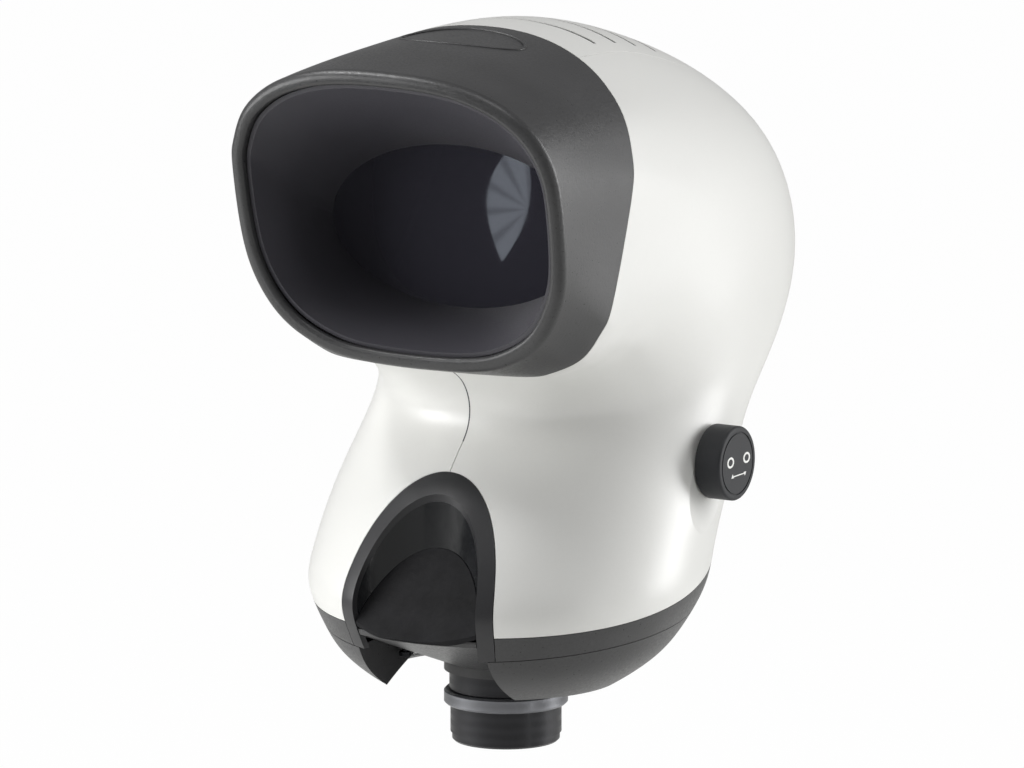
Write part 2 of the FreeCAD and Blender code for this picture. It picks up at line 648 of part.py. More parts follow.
def right_cheek(outer):
    """Dark hollow lobe beside the objective, with a lamp window opening in its underside."""
    lobe = outer.common(below_split(JOINT_GAP / 2)).cut(cheek_cone())
    lobe = lobe.common(box((CHEEK_HALF_GAP, -REACH, 0), (REACH, REACH, REACH)))
    skin = lobe.cut(envelope(CHEEK_WALL))
    floor = lobe.common(cheek_cone(CHEEK_WALL))
    side = lobe.common(box((CHEEK_HALF_GAP, -REACH, 0), (CHEEK_HALF_GAP + CHEEK_WALL, REACH, REACH)))
    inside = floor.fuse(side).cut(above_tray())
    cheek = skin.fuse(inside).removeSplitter()
    return cheek.cut(lamp_band(-1.0, CHEEK_WALL + 1.0, SEAT_GAP))


def lamp_band(low, high, grow=0.0):
    """Part of a cone over the lamp's place, between two heights above the cheek's underside."""
    inner = LAMP_INNER_RADIUS - grow
    outer = LAMP_OUTER_RADIUS + grow
    band = spun([(inner, cheek_height(inner) + low), (outer, cheek_height(outer) + low),
                 (outer, cheek_height(outer) + high), (inner, cheek_height(inner) + high)])
    reach = LAMP_HALF_LENGTH + grow
    band = band.common(box((0, -reach, 0), (REACH, reach, REACH)))
    return band.translated(Vector(0, CHEEK_CENTRE_Y, 0))


def right_lamp_window():
    """Clear pane in the cheek's underside."""
    return lamp_band(CHEEK_WALL - LAMP_GLASS, CHEEK_WALL)


def right_led_board():
    """Circuit board over the lamp window."""
    low = LED_RISE + LED_HEIGHT / math.cos(cheek_slope()) + LED_BOARD_GAP
    return lamp_band(low, low + LED_BOARD_THICKNESS)


def cheek_slope():
    """Angle of the cheeks' underside, in radians."""
    return math.atan(CHEEK_RISE)


def led_row():
    """Lamp beads under the right-hand board."""
    radius = (LAMP_INNER_RADIUS + LAMP_OUTER_RADIUS) / 2
    beads = []
    for index in range(LED_COUNT):
        bead = Part.makeCylinder(LED_RADIUS, LED_HEIGHT)
        bead.rotate(Vector(0, 0, 0), Vector(0, 1, 0), math.degrees(cheek_slope()))
        bead.translate(Vector(radius, 0, cheek_height(radius) + LED_RISE))
        bead.rotate(Vector(0, 0, 0), Vector(0, 0, 1), (index - (LED_COUNT - 1) / 2) * LED_ROW_ANGLE)
        bead.translate(Vector(0, CHEEK_CENTRE_Y, 0))
        beads.append(bead)
    return Part.makeCompound(beads)


# ---- objective ----
def objective_socket():
    """Fixed tube under the shelf that takes the objective's spigot."""
    bore = SPIGOT_RADIUS + RUNNING_FIT
    step_z = COLLAR_TOP_Z + SEAT_GAP
    step_foot = COLLAR_BOTTOM_Z + COLLAR_FLOOR + SEAT_GAP
    top = SHELF_Z
    return spun([(bore, step_foot), (SOCKET_STEP_RADIUS, step_foot), (SOCKET_STEP_RADIUS, step_z),
                 (SOCKET_RADIUS, step_z), (SOCKET_RADIUS, top - SOCKET_FLANGE),
                 (SOCKET_FLANGE_RADIUS, top - SOCKET_FLANGE), (SOCKET_FLANGE_RADIUS, top), (bore, top)])


def lock_collar():
    """Ring that turns on the socket's step and locks the objective."""
    step_bore = SOCKET_STEP_RADIUS + RUNNING_FIT
    floor_bore = SPIGOT_RADIUS + RUNNING_FIT
    floor_z = COLLAR_BOTTOM_Z + COLLAR_FLOOR
    edge_radius = COLLAR_RADIUS - TURNED_EDGE
    return spun([(floor_bore, COLLAR_BOTTOM_Z), (edge_radius, COLLAR_BOTTOM_Z),
                 (COLLAR_RADIUS, COLLAR_BOTTOM_Z + TURNED_EDGE), (COLLAR_RADIUS, COLLAR_TOP_Z - TURNED_EDGE),
                 (edge_radius, COLLAR_TOP_Z), (step_bore, COLLAR_TOP_Z), (step_bore, floor_z),
                 (floor_bore, floor_z)])


def objective_barrel():
    """Turned barrel with a stepped foot and a spigot."""
    shoulder = OBJECTIVE_BORE
    seat = GLASS_RADIUS + RUNNING_FIT
    seat_top = GLASS_SEAT_Z + GLASS_THICKNESS
    return spun([(seat, 0), (FOOT_RADIUS - TURNED_EDGE, 0),
                 (FOOT_RADIUS, TURNED_EDGE), (FOOT_RADIUS, FOOT_HEIGHT),
                 (BARREL_RADIUS, FOOT_HEIGHT), (BARREL_RADIUS, BARREL_TOP_Z), (SPIGOT_RADIUS, BARREL_TOP_Z),
                 (SPIGOT_RADIUS, SPIGOT_TOP_Z), (shoulder, SPIGOT_TOP_Z), (shoulder, seat_top),
                 (seat, seat_top)])


def dome_lens(radius, thickness, z, curve):
    """Lens with a flat upper side and a domed lower side."""
    blank = rod(radius, (0, 0, z), (0, 0, z + thickness))
    ball = Part.makeSphere(curve, Vector(0, 0, z + curve))
    return blank.common(ball)


def objective_front_lens():
    """Front lens in the foot of the objective."""
    return dome_lens(GLASS_RADIUS, GLASS_THICKNESS, GLASS_SEAT_Z, GLASS_RADIUS * 4)


def objective_retaining_ring():
    """Threaded ring under the front lens."""
    top = GLASS_SEAT_Z - SEAT_GAP
    inner = GLASS_RADIUS - RETAINING_RING_WIDTH
    return spun([(inner, RETAINING_RING_Z), (GLASS_RADIUS, RETAINING_RING_Z),
                 (GLASS_RADIUS, top), (inner, top)])


def objective_rear_lens():
    """Rear lens in the spigot."""
    top = SPIGOT_TOP_Z - 1
    return rod(OBJECTIVE_BORE - RUNNING_FIT, (0, 0, top - GLASS_THICKNESS), (0, 0, top))


# ---- eye-distance drive ----
def eye_distance_knob():
    """Round knob with a ring groove in its face and a stem."""
    face_x = KNOB_BASE_X + KNOB_THICKNESS
    knob = knob_axis_rod(KNOB_RADIUS, KNOB_BASE_X, face_x)
    knob = knob.makeFillet(KNOB_EDGE_ROUND, [edge for edge in knob.Edges if len(edge.Vertexes) == 1])
    groove_radius = KNOB_RADIUS - KNOB_RIM
    groove_outer = knob_axis_rod(groove_radius, face_x - KNOB_GROOVE_DEPTH, REACH)
    groove_inner = knob_axis_rod(groove_radius - KNOB_GROOVE_WIDTH, KNOB_BASE_X, REACH)
    knob = knob.cut(groove_outer.cut(groove_inner))
    stem = knob_axis_rod(KNOB_STEM_RADIUS, SIDE_PLATE_X + SIDE_PLATE + BUSH_FLANGE + 1, KNOB_BASE_X)
    knob = knob.fuse(stem)
    return knob.cut(knob_axis_rod(SHAFT_RADIUS, 0, face_x - KNOB_CAP)).cut(pictogram())


def pictogram():
    """Two eye rings over a double arrow, sunk into the knob's face."""
    face_x = KNOB_BASE_X + KNOB_THICKNESS
    marks = []
    for side in (-1, 1):
        centre = (face_x - MARK_DEPTH, KNOB_Y + side * EYE_SPREAD, KNOB_Z + EYE_RISE)
        end = (face_x, centre[1], centre[2])
        marks.append(ring_bar(EYE_RADIUS, EYE_HOLE, centre, end))
        tip = Vector(face_x - MARK_DEPTH, KNOB_Y + side * ARROW_HALF, KNOB_Z - ARROW_DROP)
        back = Vector(0, -side * ARROW_HEAD_LENGTH, 0)
        rise = Vector(0, 0, ARROW_HEAD_HALF)
        head = Part.Face(Part.makePolygon([tip, tip + back + rise, tip + back - rise, tip]))
        marks.append(head.extrude(Vector(MARK_DEPTH, 0, 0)))
    bar_z = KNOB_Z - ARROW_DROP
    bar = box((face_x - MARK_DEPTH, KNOB_Y - ARROW_BAR_HALF, bar_z - ARROW_LINE / 2),
              (face_x, KNOB_Y + ARROW_BAR_HALF, bar_z + ARROW_LINE / 2))
    arrow = marks[1].fuse([marks[3], bar])
    return Part.makeCompound([marks[0], marks[2], arrow])


def cross_shaft():
    """Shaft from the knob through both side plates."""
    left_end = SIDE_PLATE_X + SIDE_PLATE + BUSH_FLANGE + SHAFT_TAIL
    return knob_axis_rod(SHAFT_RADIUS - 0.01, -left_end, KNOB_BASE_X + KNOB_THICKNESS - KNOB_CAP)


def bushes():
    """Flanged bushes in the side plates."""
    solids = []
    for side in (-1, 1):
        outer_x = SIDE_PLATE_X + SIDE_PLATE
        body = knob_axis_rod(BUSH_RADIUS, side * SIDE_PLATE_X, side * outer_x)
        flange = knob_axis_rod(BUSH_FLANGE_RADIUS, side * outer_x, side * (outer_x + BUSH_FLANGE))
        solids.append(body.fuse(flange).cut(knob_axis_rod(SHAFT_RADIUS + RUNNING_FIT, -REACH, REACH)))
    return Part.makeCompound(solids)


def guide_rod():
    """Rod that keeps the carriages level."""
    y = KNOB_Y + GUIDE_OFFSET_Y
    return rod(GUIDE_RADIUS, (-SIDE_PLATE_X, y, KNOB_Z), (SIDE_PLATE_X, y, KNOB_Z))


def right_carriage():
    """Carriage with a nut on the shaft, a guide hub and an arm that holds a pupil lens."""
    low_x = CARRIAGE_X - CARRIAGE_LENGTH / 2
    high_x = CARRIAGE_X + CARRIAGE_LENGTH / 2
    guide_y = KNOB_Y + GUIDE_OFFSET_Y
    hub = knob_axis_rod(CARRIAGE_HUB_RADIUS, low_x, high_x)
    guide_hub = rod(GUIDE_RADIUS + GUIDE_HUB_WALL, (low_x, guide_y, KNOB_Z), (high_x, guide_y, KNOB_Z))
    arm = box((low_x, 0, KNOB_Z - CARRIAGE_ARM / 2), (high_x, guide_y, KNOB_Z + CARRIAGE_ARM / 2))
    ring_radius = PUPIL_LENS_RADIUS + PUPIL_RING
    low = (CARRIAGE_X, 0, KNOB_Z - CARRIAGE_ARM / 2)
    high = (CARRIAGE_X, 0, KNOB_Z + CARRIAGE_ARM / 2)
    carriage = arm.fuse([hub, guide_hub, rod(ring_radius, low, high)])
    carriage = carriage.cut(knob_axis_rod(SHAFT_RADIUS + RUNNING_FIT, -REACH, REACH))
    guide_bore = rod(GUIDE_RADIUS + RUNNING_FIT, (-REACH, guide_y, KNOB_Z), (REACH, guide_y, KNOB_Z))
    carriage = carriage.cut(guide_bore)
    return carriage.cut(rod(PUPIL_LENS_RADIUS, low, high)).removeSplitter()


def right_pupil_lens():
    """Small lens in the carriage's ring."""
    half = PUPIL_LENS_THICKNESS / 2
    radius = PUPIL_LENS_RADIUS - RUNNING_FIT
    return rod(radius, (CARRIAGE_X, 0, KNOB_Z - half), (CARRIAGE_X, 0, KNOB_Z + half))


# ---- frame and mirrors ----
def optical_chassis():
    """Shelf with posts and a rear column, one casting."""
    shelf = rod(SHELF_RADIUS, (0, 0, SHELF_Z), (0, 0, SHELF_Z + SHELF_THICKNESS))
    column_rear = COLUMN_FRONT_Y + COLUMN_THICKNESS
    shelf = shelf.common(box((-SHELF_HALF_WIDTH, SHELF_FRONT_Y, 0), (SHELF_HALF_WIDTH, column_rear, REACH)))
    column = box((-COLUMN_HALF_WIDTH, COLUMN_FRONT_Y, SHELF_Z),
                 (COLUMN_HALF_WIDTH, column_rear, COLUMN_TOP_Z))
    chassis = shelf.fuse(column)
    for x, y in post_places():
        foot = tray_height(math.hypot(x, y) + POST_RADIUS) + TRAY_WALL + SEAT_GAP
        chassis = chassis.fuse(rod(POST_RADIUS, (x, y, foot), (x, y, SHELF_Z)))
    chassis = chassis.cut(rod(LIGHT_PATH_RADIUS, (0, 0, 0), (0, 0, COLUMN_TOP_Z)))
    for x, y in post_places():
        chassis = chassis.cut(rod(TRAY_SCREW_RADIUS + SCREW_FIT, (x, y, 0), (x, y, SHELF_Z)))
    for x, z in mount_screw_places():
        chassis = chassis.cut(rod(MOUNT_SCREW_RADIUS + SCREW_FIT, (x, 0, z), (x, MOUNT_Y, z)))
    return chassis.removeSplitter()


def tray_screws():
    """Screws from under the tray into the posts."""
    solids = []
    for x, y in post_places():
        seat = tray_height(math.hypot(x, y) - TRAY_SCREW_HEAD_RADIUS)
        head = rod(TRAY_SCREW_HEAD_RADIUS, (x, y, seat - TRAY_SCREW_HEAD), (x, y, seat))
        shank = rod(TRAY_SCREW_RADIUS, (x, y, seat - 0.5), (x, y, seat + TRAY_WALL + TRAY_SCREW_DEPTH))
        solids.append(head.fuse(shank).removeSplitter())
    return Part.makeCompound(solids)


def mount_screw_places():
    """Places (X, Z) of the screws between column and mount."""
    half = MOUNT_SCREW_SPACING / 2
    return [(x, MOUNT_Z + z) for x in (-half, half) for z in (-half, half)]


def mount_screws():
    """Screws through the column into the mount's neck."""
    solids = []
    for x, z in mount_screw_places():
        head = rod(MOUNT_SCREW_HEAD_RADIUS, (x, COLUMN_FRONT_Y - MOUNT_SCREW_HEAD, z), (x, COLUMN_FRONT_Y, z))
        end_y = COLUMN_FRONT_Y + COLUMN_THICKNESS + MOUNT_SCREW_DEPTH - 1
        shank = rod(MOUNT_SCREW_RADIUS, (x, COLUMN_FRONT_Y - 0.5, z), (x, end_y, z))
        solids.append(head.fuse(shank).removeSplitter())
    return Part.makeCompound(solids)


def rear_mount():
    """Block with the mounting face and its four threaded holes."""
    plate_y = MOUNT_Y - MOUNT_PLATE
    plate = box((-MOUNT_HALF_SIZE, plate_y, MOUNT_Z - MOUNT_HALF_SIZE),
                (MOUNT_HALF_SIZE, MOUNT_Y, MOUNT_Z + MOUNT_HALF_SIZE))
    neck_y = COLUMN_FRONT_Y + COLUMN_THICKNESS
    neck = box((-MOUNT_NECK_HALF, neck_y, MOUNT_Z - MOUNT_NECK_HALF),
               (MOUNT_NECK_HALF, plate_y, MOUNT_Z + MOUNT_NECK_HALF))
    mount = plate.fuse(neck).removeSplitter()
    corner_edges = [edge for edge in mount.Edges if abs(edge.BoundBox.YLength - MOUNT_PLATE) < TOUCH]
    mount = mount.makeFillet(MOUNT_CORNER_ROUND, corner_edges)
    half = BOLT_SPACING / 2
    for x in (-half, half):
        for z in (MOUNT_Z - half, MOUNT_Z + half):
            mount = mount.cut(rod(BOLT_RADIUS, (x, plate_y, z), (x, MOUNT_Y, z)))
    screw_end = neck_y + MOUNT_SCREW_DEPTH
    for x, z in mount_screw_places():
        mount = mount.cut(rod(MOUNT_SCREW_RADIUS + SCREW_FIT, (x, neck_y, z), (x, screw_end, z)))
    return mount


def right_side_plate():
    """Upright plate that carries a bush, the guide rod and the mirrors' edges."""
    points = [Vector(SIDE_PLATE_X, *corner) for corner in SIDE_PLATE_OUTLINE]
    plate = Part.Face(Part.makePolygon(points + points[:1])).extrude(Vector(SIDE_PLATE, 0, 0))
    return plate.common(envelope(SHELL_WALL + PLATE_GAP)).cut(knob_axis_rod(BUSH_RADIUS, 0, REACH))


def splitter_mirror():
    """Half-silvered plate at 45 degrees over the objective."""
    half = SPLITTER_LENGTH / 2
    reach = SIDE_PLATE_X - JOINT_GAP
    plate = box((-reach, -half, 0), (reach, half, SPLITTER_THICKNESS))
    plate.rotate(Vector(0, 0, 0), Vector(1, 0, 0), 45)
    plate.translate(Vector(0, *SPLITTER_CENTRE))
    return plate


def field_mirror():
    """Dished mirror at the rear of the head."""
    low = (0, FIELD_MIRROR_Y, FIELD_MIRROR_Z)
    high = (0, FIELD_MIRROR_Y + FIELD_MIRROR_EDGE, FIELD_MIRROR_Z)
    blank = rod(FIELD_MIRROR_RADIUS, low, high)
    ball_y = FIELD_MIRROR_Y + FIELD_MIRROR_SAG - FIELD_MIRROR_CURVE
    ball = Part.makeSphere(FIELD_MIRROR_CURVE, Vector(0, ball_y, FIELD_MIRROR_Z))
    return blank.cut(ball)


def mirror_cell():
    """Plate behind the field mirror, fixed between the side plates."""
    y = FIELD_MIRROR_Y + FIELD_MIRROR_EDGE
    reach = SIDE_PLATE_X - JOINT_GAP
    return box((-reach, y, FIELD_MIRROR_Z - MIRROR_CELL_HALF_HEIGHT),
               (reach, y + MIRROR_CELL, FIELD_MIRROR_Z + MIRROR_CELL_HALF_HEIGHT))


# ---- electrics ----
def control_board():
    """Circuit board on the back of the column, with its standoffs."""
    y = COLUMN_FRONT_Y + COLUMN_THICKNESS
    board = box((-BOARD_HALF_WIDTH, y + BOARD_STANDOFF, BOARD_LOW_Z),
                (BOARD_HALF_WIDTH, y + BOARD_STANDOFF + BOARD_THICKNESS, BOARD_HIGH_Z))
    notch = MOUNT_NECK_HALF + MOUNT_OPENING_GAP
    board = board.cut(box((-notch, y, MOUNT_Z - notch), (notch, REACH, REACH)))
    inset = STANDOFF_RADIUS + 1
    posts = [rod(STANDOFF_RADIUS, (x, y, z), (x, y + BOARD_STANDOFF, z))
             for x in (inset - COLUMN_HALF_WIDTH, COLUMN_HALF_WIDTH - inset)
             for z in (BOARD_LOW_Z + inset, BOARD_HIGH_Z - inset)]
    return board.fuse(posts).removeSplitter()


def board_rear_y():
    """Rear face of the control board."""
    return COLUMN_FRONT_Y + COLUMN_THICKNESS + BOARD_STANDOFF + BOARD_THICKNESS


def power_inlet():
    """Round inlet for a barrel plug."""
    body = rod(INLET_RADIUS, (INLET_X, board_rear_y(), INLET_Z), (INLET_X, INLET_FACE_Y, INLET_Z))
    bore_y = INLET_FACE_Y - INLET_BORE_DEPTH
    body = body.cut(rod(INLET_BORE, (INLET_X, bore_y, INLET_Z), (INLET_X, INLET_FACE_Y, INLET_Z)))
    pin = rod(INLET_PIN_RADIUS, (INLET_X, bore_y - 1, INLET_Z), (INLET_X, INLET_FACE_Y - 1, INLET_Z))
    return body.fuse(pin).removeSplitter()


def switch_body():
    """Push switch on the control board."""
    y = board_rear_y()
    body = box((SWITCH_X - SWITCH_HALF, y, INLET_Z - SWITCH_HALF),
               (SWITCH_X + SWITCH_HALF, y + SWITCH_DEPTH, INLET_Z + SWITCH_HALF))
    floor_y = y + SWITCH_FLOOR
    return body.cut(rod(STEM_RADIUS + RUNNING_FIT, (SWITCH_X, floor_y, INLET_Z), (SWITCH_X, REACH, INLET_Z)))


def lamp_button():
    """Push button for the lamps."""
    y = board_rear_y()
    cap_y = y + SWITCH_DEPTH + BUTTON_TRAVEL + SEAT_GAP
    cap = rod(BUTTON_RADIUS, (SWITCH_X, cap_y, INLET_Z), (SWITCH_X, BUTTON_FACE_Y, INLET_Z))
    edges = [edge for edge in cap.Edges if edge.BoundBox.YMin > BUTTON_FACE_Y - 0.1]
    cap = cap.makeFillet(BUTTON_EDGE_ROUND, edges)
    stem_y = y + SWITCH_FLOOR + BUTTON_TRAVEL + SEAT_GAP
    stem = rod(STEM_RADIUS, (SWITCH_X, stem_y, INLET_Z), (SWITCH_X, cap_y, INLET_Z))
    return cap.fuse(stem).removeSplitter()


def export(name, shape):
    """Write one sub-part, moved so that the centre of the rear mounting face is the origin."""
    moved = shape.copy()
    moved.translate(Vector(0, -MOUNT_Y, -MOUNT_Z))
    moved.exportStep("parts/" + name + ".step")
    print(name, moved.isValid(), round(moved.Volume), len(moved.Solids))


def main():
    """Build and write every sub-part."""
    os.makedirs("parts", exist_ok=True)
    outer = envelope()
    left_casing, right_casing = casings(outer)
    solids = {
        "viewing_hood": viewing_hood(outer),
        "hood_badge_plate": hood_badge_plate(),
        "hood_liner": hood_liner(),
        "viewing_window": viewing_window(),
        "left_casing": left_casing,
        "right_casing": right_casing,
        "top_cover": top_cover(outer),
        "arch_trim": arch_trim(outer),
        "arch_liner": arch_liner(),
        "arch_panel": arch_panel(),
        "skirt_band": skirt_band(outer),
        "underside_tray": underside_tray(),
        "tray_screws": tray_screws(),
        "objective_socket": objective_socket(),
        "lock_collar": lock_collar(),
        "objective_barrel": objective_barrel(),
        "objective_front_lens": objective_front_lens(),
        "objective_retaining_ring": objective_retaining_ring(),
        "objective_rear_lens": objective_rear_lens(),
        "cross_shaft": cross_shaft(),
        "shaft_bushes": bushes(),
        "guide_rod": guide_rod(),
        "eye_distance_knob": eye_distance_knob(),
        "knob_pictogram": pictogram(),
        "optical_chassis": optical_chassis(),
        "rear_mount": rear_mount(),
        "mount_screws": mount_screws(),
        "splitter_mirror": splitter_mirror(),
        "field_mirror": field_mirror(),
        "mirror_cell": mirror_cell(),
        "control_board": control_board(),
        "power_inlet": power_inlet(),
        "switch_body": switch_body(),
        "lamp_button": lamp_button(),
    }
    paired = {
        "cheek": right_cheek(outer),
        "lamp_window": right_lamp_window(),
        "led_board": right_led_board(),
        "leds": led_row(),
        "carriage": right_carriage(),
        "pupil_lens": right_pupil_lens(),
        "side_plate": right_side_plate(),
    }
    for name, shape in paired.items():
        solids["right_" + name] = shape
        solids["left_" + name] = mirrored(shape)
    for name, shape in solids.items():
        export(name, shape)


main()
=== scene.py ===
"""Looks for an eyepiece-less stereo viewer head: finishes, close-up pieces, studio and camera."""
import json
import logging
import math
from dataclasses import dataclass, field
from enum import Enum
from typing import Callable, Iterable

import bmesh
import bpy
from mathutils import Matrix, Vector


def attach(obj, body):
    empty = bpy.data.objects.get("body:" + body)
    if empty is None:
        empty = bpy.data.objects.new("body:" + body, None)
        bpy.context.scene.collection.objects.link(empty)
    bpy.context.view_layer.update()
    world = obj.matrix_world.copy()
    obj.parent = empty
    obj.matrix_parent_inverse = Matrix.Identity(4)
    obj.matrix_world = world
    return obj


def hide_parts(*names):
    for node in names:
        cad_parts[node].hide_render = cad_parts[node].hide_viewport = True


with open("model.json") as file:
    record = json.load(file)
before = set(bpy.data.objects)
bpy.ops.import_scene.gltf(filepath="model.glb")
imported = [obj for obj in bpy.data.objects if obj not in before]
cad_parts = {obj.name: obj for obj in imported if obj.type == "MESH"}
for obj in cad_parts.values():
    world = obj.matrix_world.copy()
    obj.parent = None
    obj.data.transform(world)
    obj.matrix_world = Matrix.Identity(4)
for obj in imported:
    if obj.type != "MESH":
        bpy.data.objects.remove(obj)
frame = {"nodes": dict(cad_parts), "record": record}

log = logging.getLogger("viewer_head")
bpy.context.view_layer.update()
MM = 0.001
AXIS = Vector((0.0, -148.0, -112.0)) * MM     # foot of the objective, on its axis
PER_METRE = 1000.0                            # millimetres in a metre
AXIS_DOWN = Vector((0.0, 0.0, -1.0))
AXIS_INWARD = Vector((0.0, 1.0, 0.0))
HIGH = 400.0                                  # millimetres, above every piece
SAME_PLACE = 1e-6                             # metres
NEAR = 0.05                                   # millimetres
FACING = 0.9                                  # least share of a normal along the axis that it faces
NOISE_LOW = 0.3                               # nearly all of a noise pattern lies between these two
NOISE_HIGH = 0.7
WAVE_FACTOR = 20.0                            # a wave texture multiplies its scale by this
Colour = tuple[float, float, float, float]


class RayKind(Enum):
    """What a stage piece can be seen by."""

    CAMERA = "visible_camera"
    DIFFUSE = "visible_diffuse"
    GLOSSY = "visible_glossy"
    TRANSMISSION = "visible_transmission"
    SHADOW = "visible_shadow"


def at(x: float, y: float, z: float) -> Vector:
    """Point given in millimetres from the foot of the objective.

    Args:
        x, y, z: Distances in millimetres.

    Returns:
        The same point in metres in the part's frame.
    """
    return AXIS + Vector((x, y, z)) * MM


def linear(code: str) -> Colour:
    """Turn an sRGB hex code to linear colour.

    Args:
        code: Six hex digits after a hash sign.

    Returns:
        Linear red, green, blue and a full alpha.
    """
    parts = [int(code[i:i + 2], 16) / 255 for i in (1, 3, 5)]
    red, green, blue = (c / 12.92 if c <= 0.04045 else ((c + 0.055) / 1.055) ** 2.4 for c in parts)
    return (red, green, blue, 1.0)


def shaded(colour: Colour, factor: float) -> Colour:
    """Scale a linear colour and keep its alpha."""
    return tuple(min(1.0, c * factor) for c in colour[:3]) + (1.0,)


def towards(azimuth: float, elevation: float) -> Vector:
    """Unit vector from the head to a place around it.

    Args:
        azimuth: Degrees from the front, to the right.
        elevation: Degrees above the level.

    Returns:
        The direction in the part's frame.
    """
    around, above = math.radians(azimuth), math.radians(elevation)
    return Vector((math.sin(around) * math.cos(above), -math.cos(around) * math.cos(above), math.sin(above)))


def on_surface(piece: bpy.types.Object, start: Vector, direction: Vector, otherwise: Vector) -> Vector:
    """Point where a ray meets a CAD node.

    Args:
        piece: The node.
        start: Where the ray starts, in metres.
        direction: Unit vector along it.
        otherwise: Point to give where the ray meets nothing.

    Returns:
        The point in metres.
    """
    hit, place, _, _ = piece.ray_cast(piece.matrix_world.inverted() @ start, direction)
    return piece.matrix_world @ place if hit else otherwise


# ---- finishes ----
def add_node(tree: bpy.types.NodeTree, kind: str, settings: dict | None = None,
             links: dict | None = None) -> bpy.types.Node:
    """Add one shader node.

    Args:
        tree: The material's or world's node tree.
        kind: Node type.
        settings: Properties to set, by name.
        links: Input sockets by name or number, each a value or another node's output socket.

    Returns:
        The new node.
    """
    node = tree.nodes.new(kind)
    for name, value in (settings or {}).items():
        setattr(node, name, value)
    for name, value in (links or {}).items():
        if isinstance(value, bpy.types.NodeSocket):
            tree.links.new(value, node.inputs[name])
        else:
            node.inputs[name].default_value = value
    return node


def bare_material(name: str) -> tuple[bpy.types.Material, bpy.types.NodeTree]:
    """Material for a stage piece, with nothing but its output.

    Args:
        name: The material's name.

    Returns:
        The material and its node tree.
    """
    material = bpy.data.materials.new(name)
    material.use_nodes = True
    tree = material.node_tree
    tree.nodes.remove(tree.nodes["Principled BSDF"])
    return material, tree


@dataclass(frozen=True)
class Finish:
    """A surface: what it is made of and how it was made.

    The grain is a noise pattern whose pitch is a real size in millimetres. It moves the colour, the roughness
    and the relief a little, as the real surface does.
    """

    name: str
    colour: str
    roughness: float = 0.5
    metallic: float = 0.0
    grain_mm: float = 1.0
    relief: float = 0.2
    relief_mm: float = 0.05
    mottle: float = 0.06
    uneven: float = 0.05
    cloud_mm: float = 40.0
    sockets: dict = field(default_factory=dict)

    def grain(self, tree: bpy.types.NodeTree, place: bpy.types.NodeSocket) -> bpy.types.NodeSocket:
        """Fine pattern of the surface.

        Args:
            tree: The material's node tree.
            place: Socket with the place on the surface.

        Returns:
            Socket with the pattern, from 0 to 1.
        """
        noise = add_node(tree, "ShaderNodeTexNoise", {"noise_dimensions": "3D"},
                         {"Vector": place, "Scale": PER_METRE / self.grain_mm, "Detail": 3.0, "Roughness": 0.6})
        return noise.outputs["Fac"]

    def tint(self, tree: bpy.types.NodeTree, place: bpy.types.NodeSocket,
             grain: bpy.types.NodeSocket) -> bpy.types.NodeSocket:
        """Base colour that drifts slowly and follows the grain.

        Args:
            tree: The material's node tree.
            place: Socket with the place on the surface.
            grain: Socket with the fine pattern.

        Returns:
            Socket with the colour.
        """
        cloud = add_node(tree, "ShaderNodeTexNoise", {},
                         {"Vector": place, "Scale": PER_METRE / self.cloud_mm, "Detail": 2.0})
        drift = add_node(tree, "ShaderNodeMath", {"operation": "MULTIPLY_ADD"},
                        {0: cloud.outputs["Fac"], 1: 0.5, 2: 0.0})
        level = add_node(tree, "ShaderNodeMath", {"operation": "MULTIPLY_ADD"},
                        {0: grain, 1: 0.5, 2: drift.outputs[0]})
        base = linear(self.colour)
        ramp = add_node(tree, "ShaderNodeValToRGB", {}, {"Fac": level.outputs[0]})
        ramp.color_ramp.elements[0].position = NOISE_LOW
        ramp.color_ramp.elements[1].position = NOISE_HIGH
        ramp.color_ramp.elements[0].color = shaded(base, 1.0 - self.mottle)
        ramp.color_ramp.elements[1].color = shaded(base, 1.0 + self.mottle)
        return ramp.outputs["Color"]

    def build(self) -> bpy.types.Material:
        """Make the material.

        Returns:
            A material with its nodes linked.
        """
        material = bpy.data.materials.new(self.name)
        material.use_nodes = True
        tree = material.node_tree
        shader = tree.nodes["Principled BSDF"]
        place = add_node(tree, "ShaderNodeTexCoord").outputs["Object"]
        grain = self.grain(tree, place)
        tree.links.new(self.tint(tree, place, grain), shader.inputs["Base Color"])
        rough = add_node(tree, "ShaderNodeMapRange", {},
                         {"Value": grain, "From Min": NOISE_LOW, "From Max": NOISE_HIGH,
                          "To Min": max(0.0, self.roughness - self.uneven),
                          "To Max": self.roughness + self.uneven})
        tree.links.new(rough.outputs["Result"], shader.inputs["Roughness"])
        bump = add_node(tree, "ShaderNodeBump", {},
                        {"Height": grain, "Strength": self.relief, "Distance": self.relief_mm * MM})
        tree.links.new(bump.outputs["Normal"], shader.inputs["Normal"])
        shader.inputs["Metallic"].default_value = self.metallic
        for name, value in self.sockets.items():
            shader.inputs[name].default_value = value
        return material


@dataclass(frozen=True)
class TurnedMetal(Finish):
    """Metal turned on a lathe: the grain is fine rings round an axis."""

    ring_mm: float = 0.5
    along: str = "Z"

    def grain(self, tree: bpy.types.NodeTree, place: bpy.types.NodeSocket) -> bpy.types.NodeSocket:
        """Rings left by the tool, a little uneven.

        Args:
            tree: The material's node tree.
            place: Socket with the place on the surface.

        Returns:
            Socket with the pattern, from 0 to 1.
        """
        rings = add_node(tree, "ShaderNodeTexWave",
                         {"wave_type": "BANDS", "bands_direction": self.along, "wave_profile": "SIN"},
                         {"Vector": place, "Scale": PER_METRE / self.ring_mm / WAVE_FACTOR, "Distortion": 1.5,
                          "Detail": 2.0, "Detail Scale": 1.0})
        return rings.outputs["Fac"]


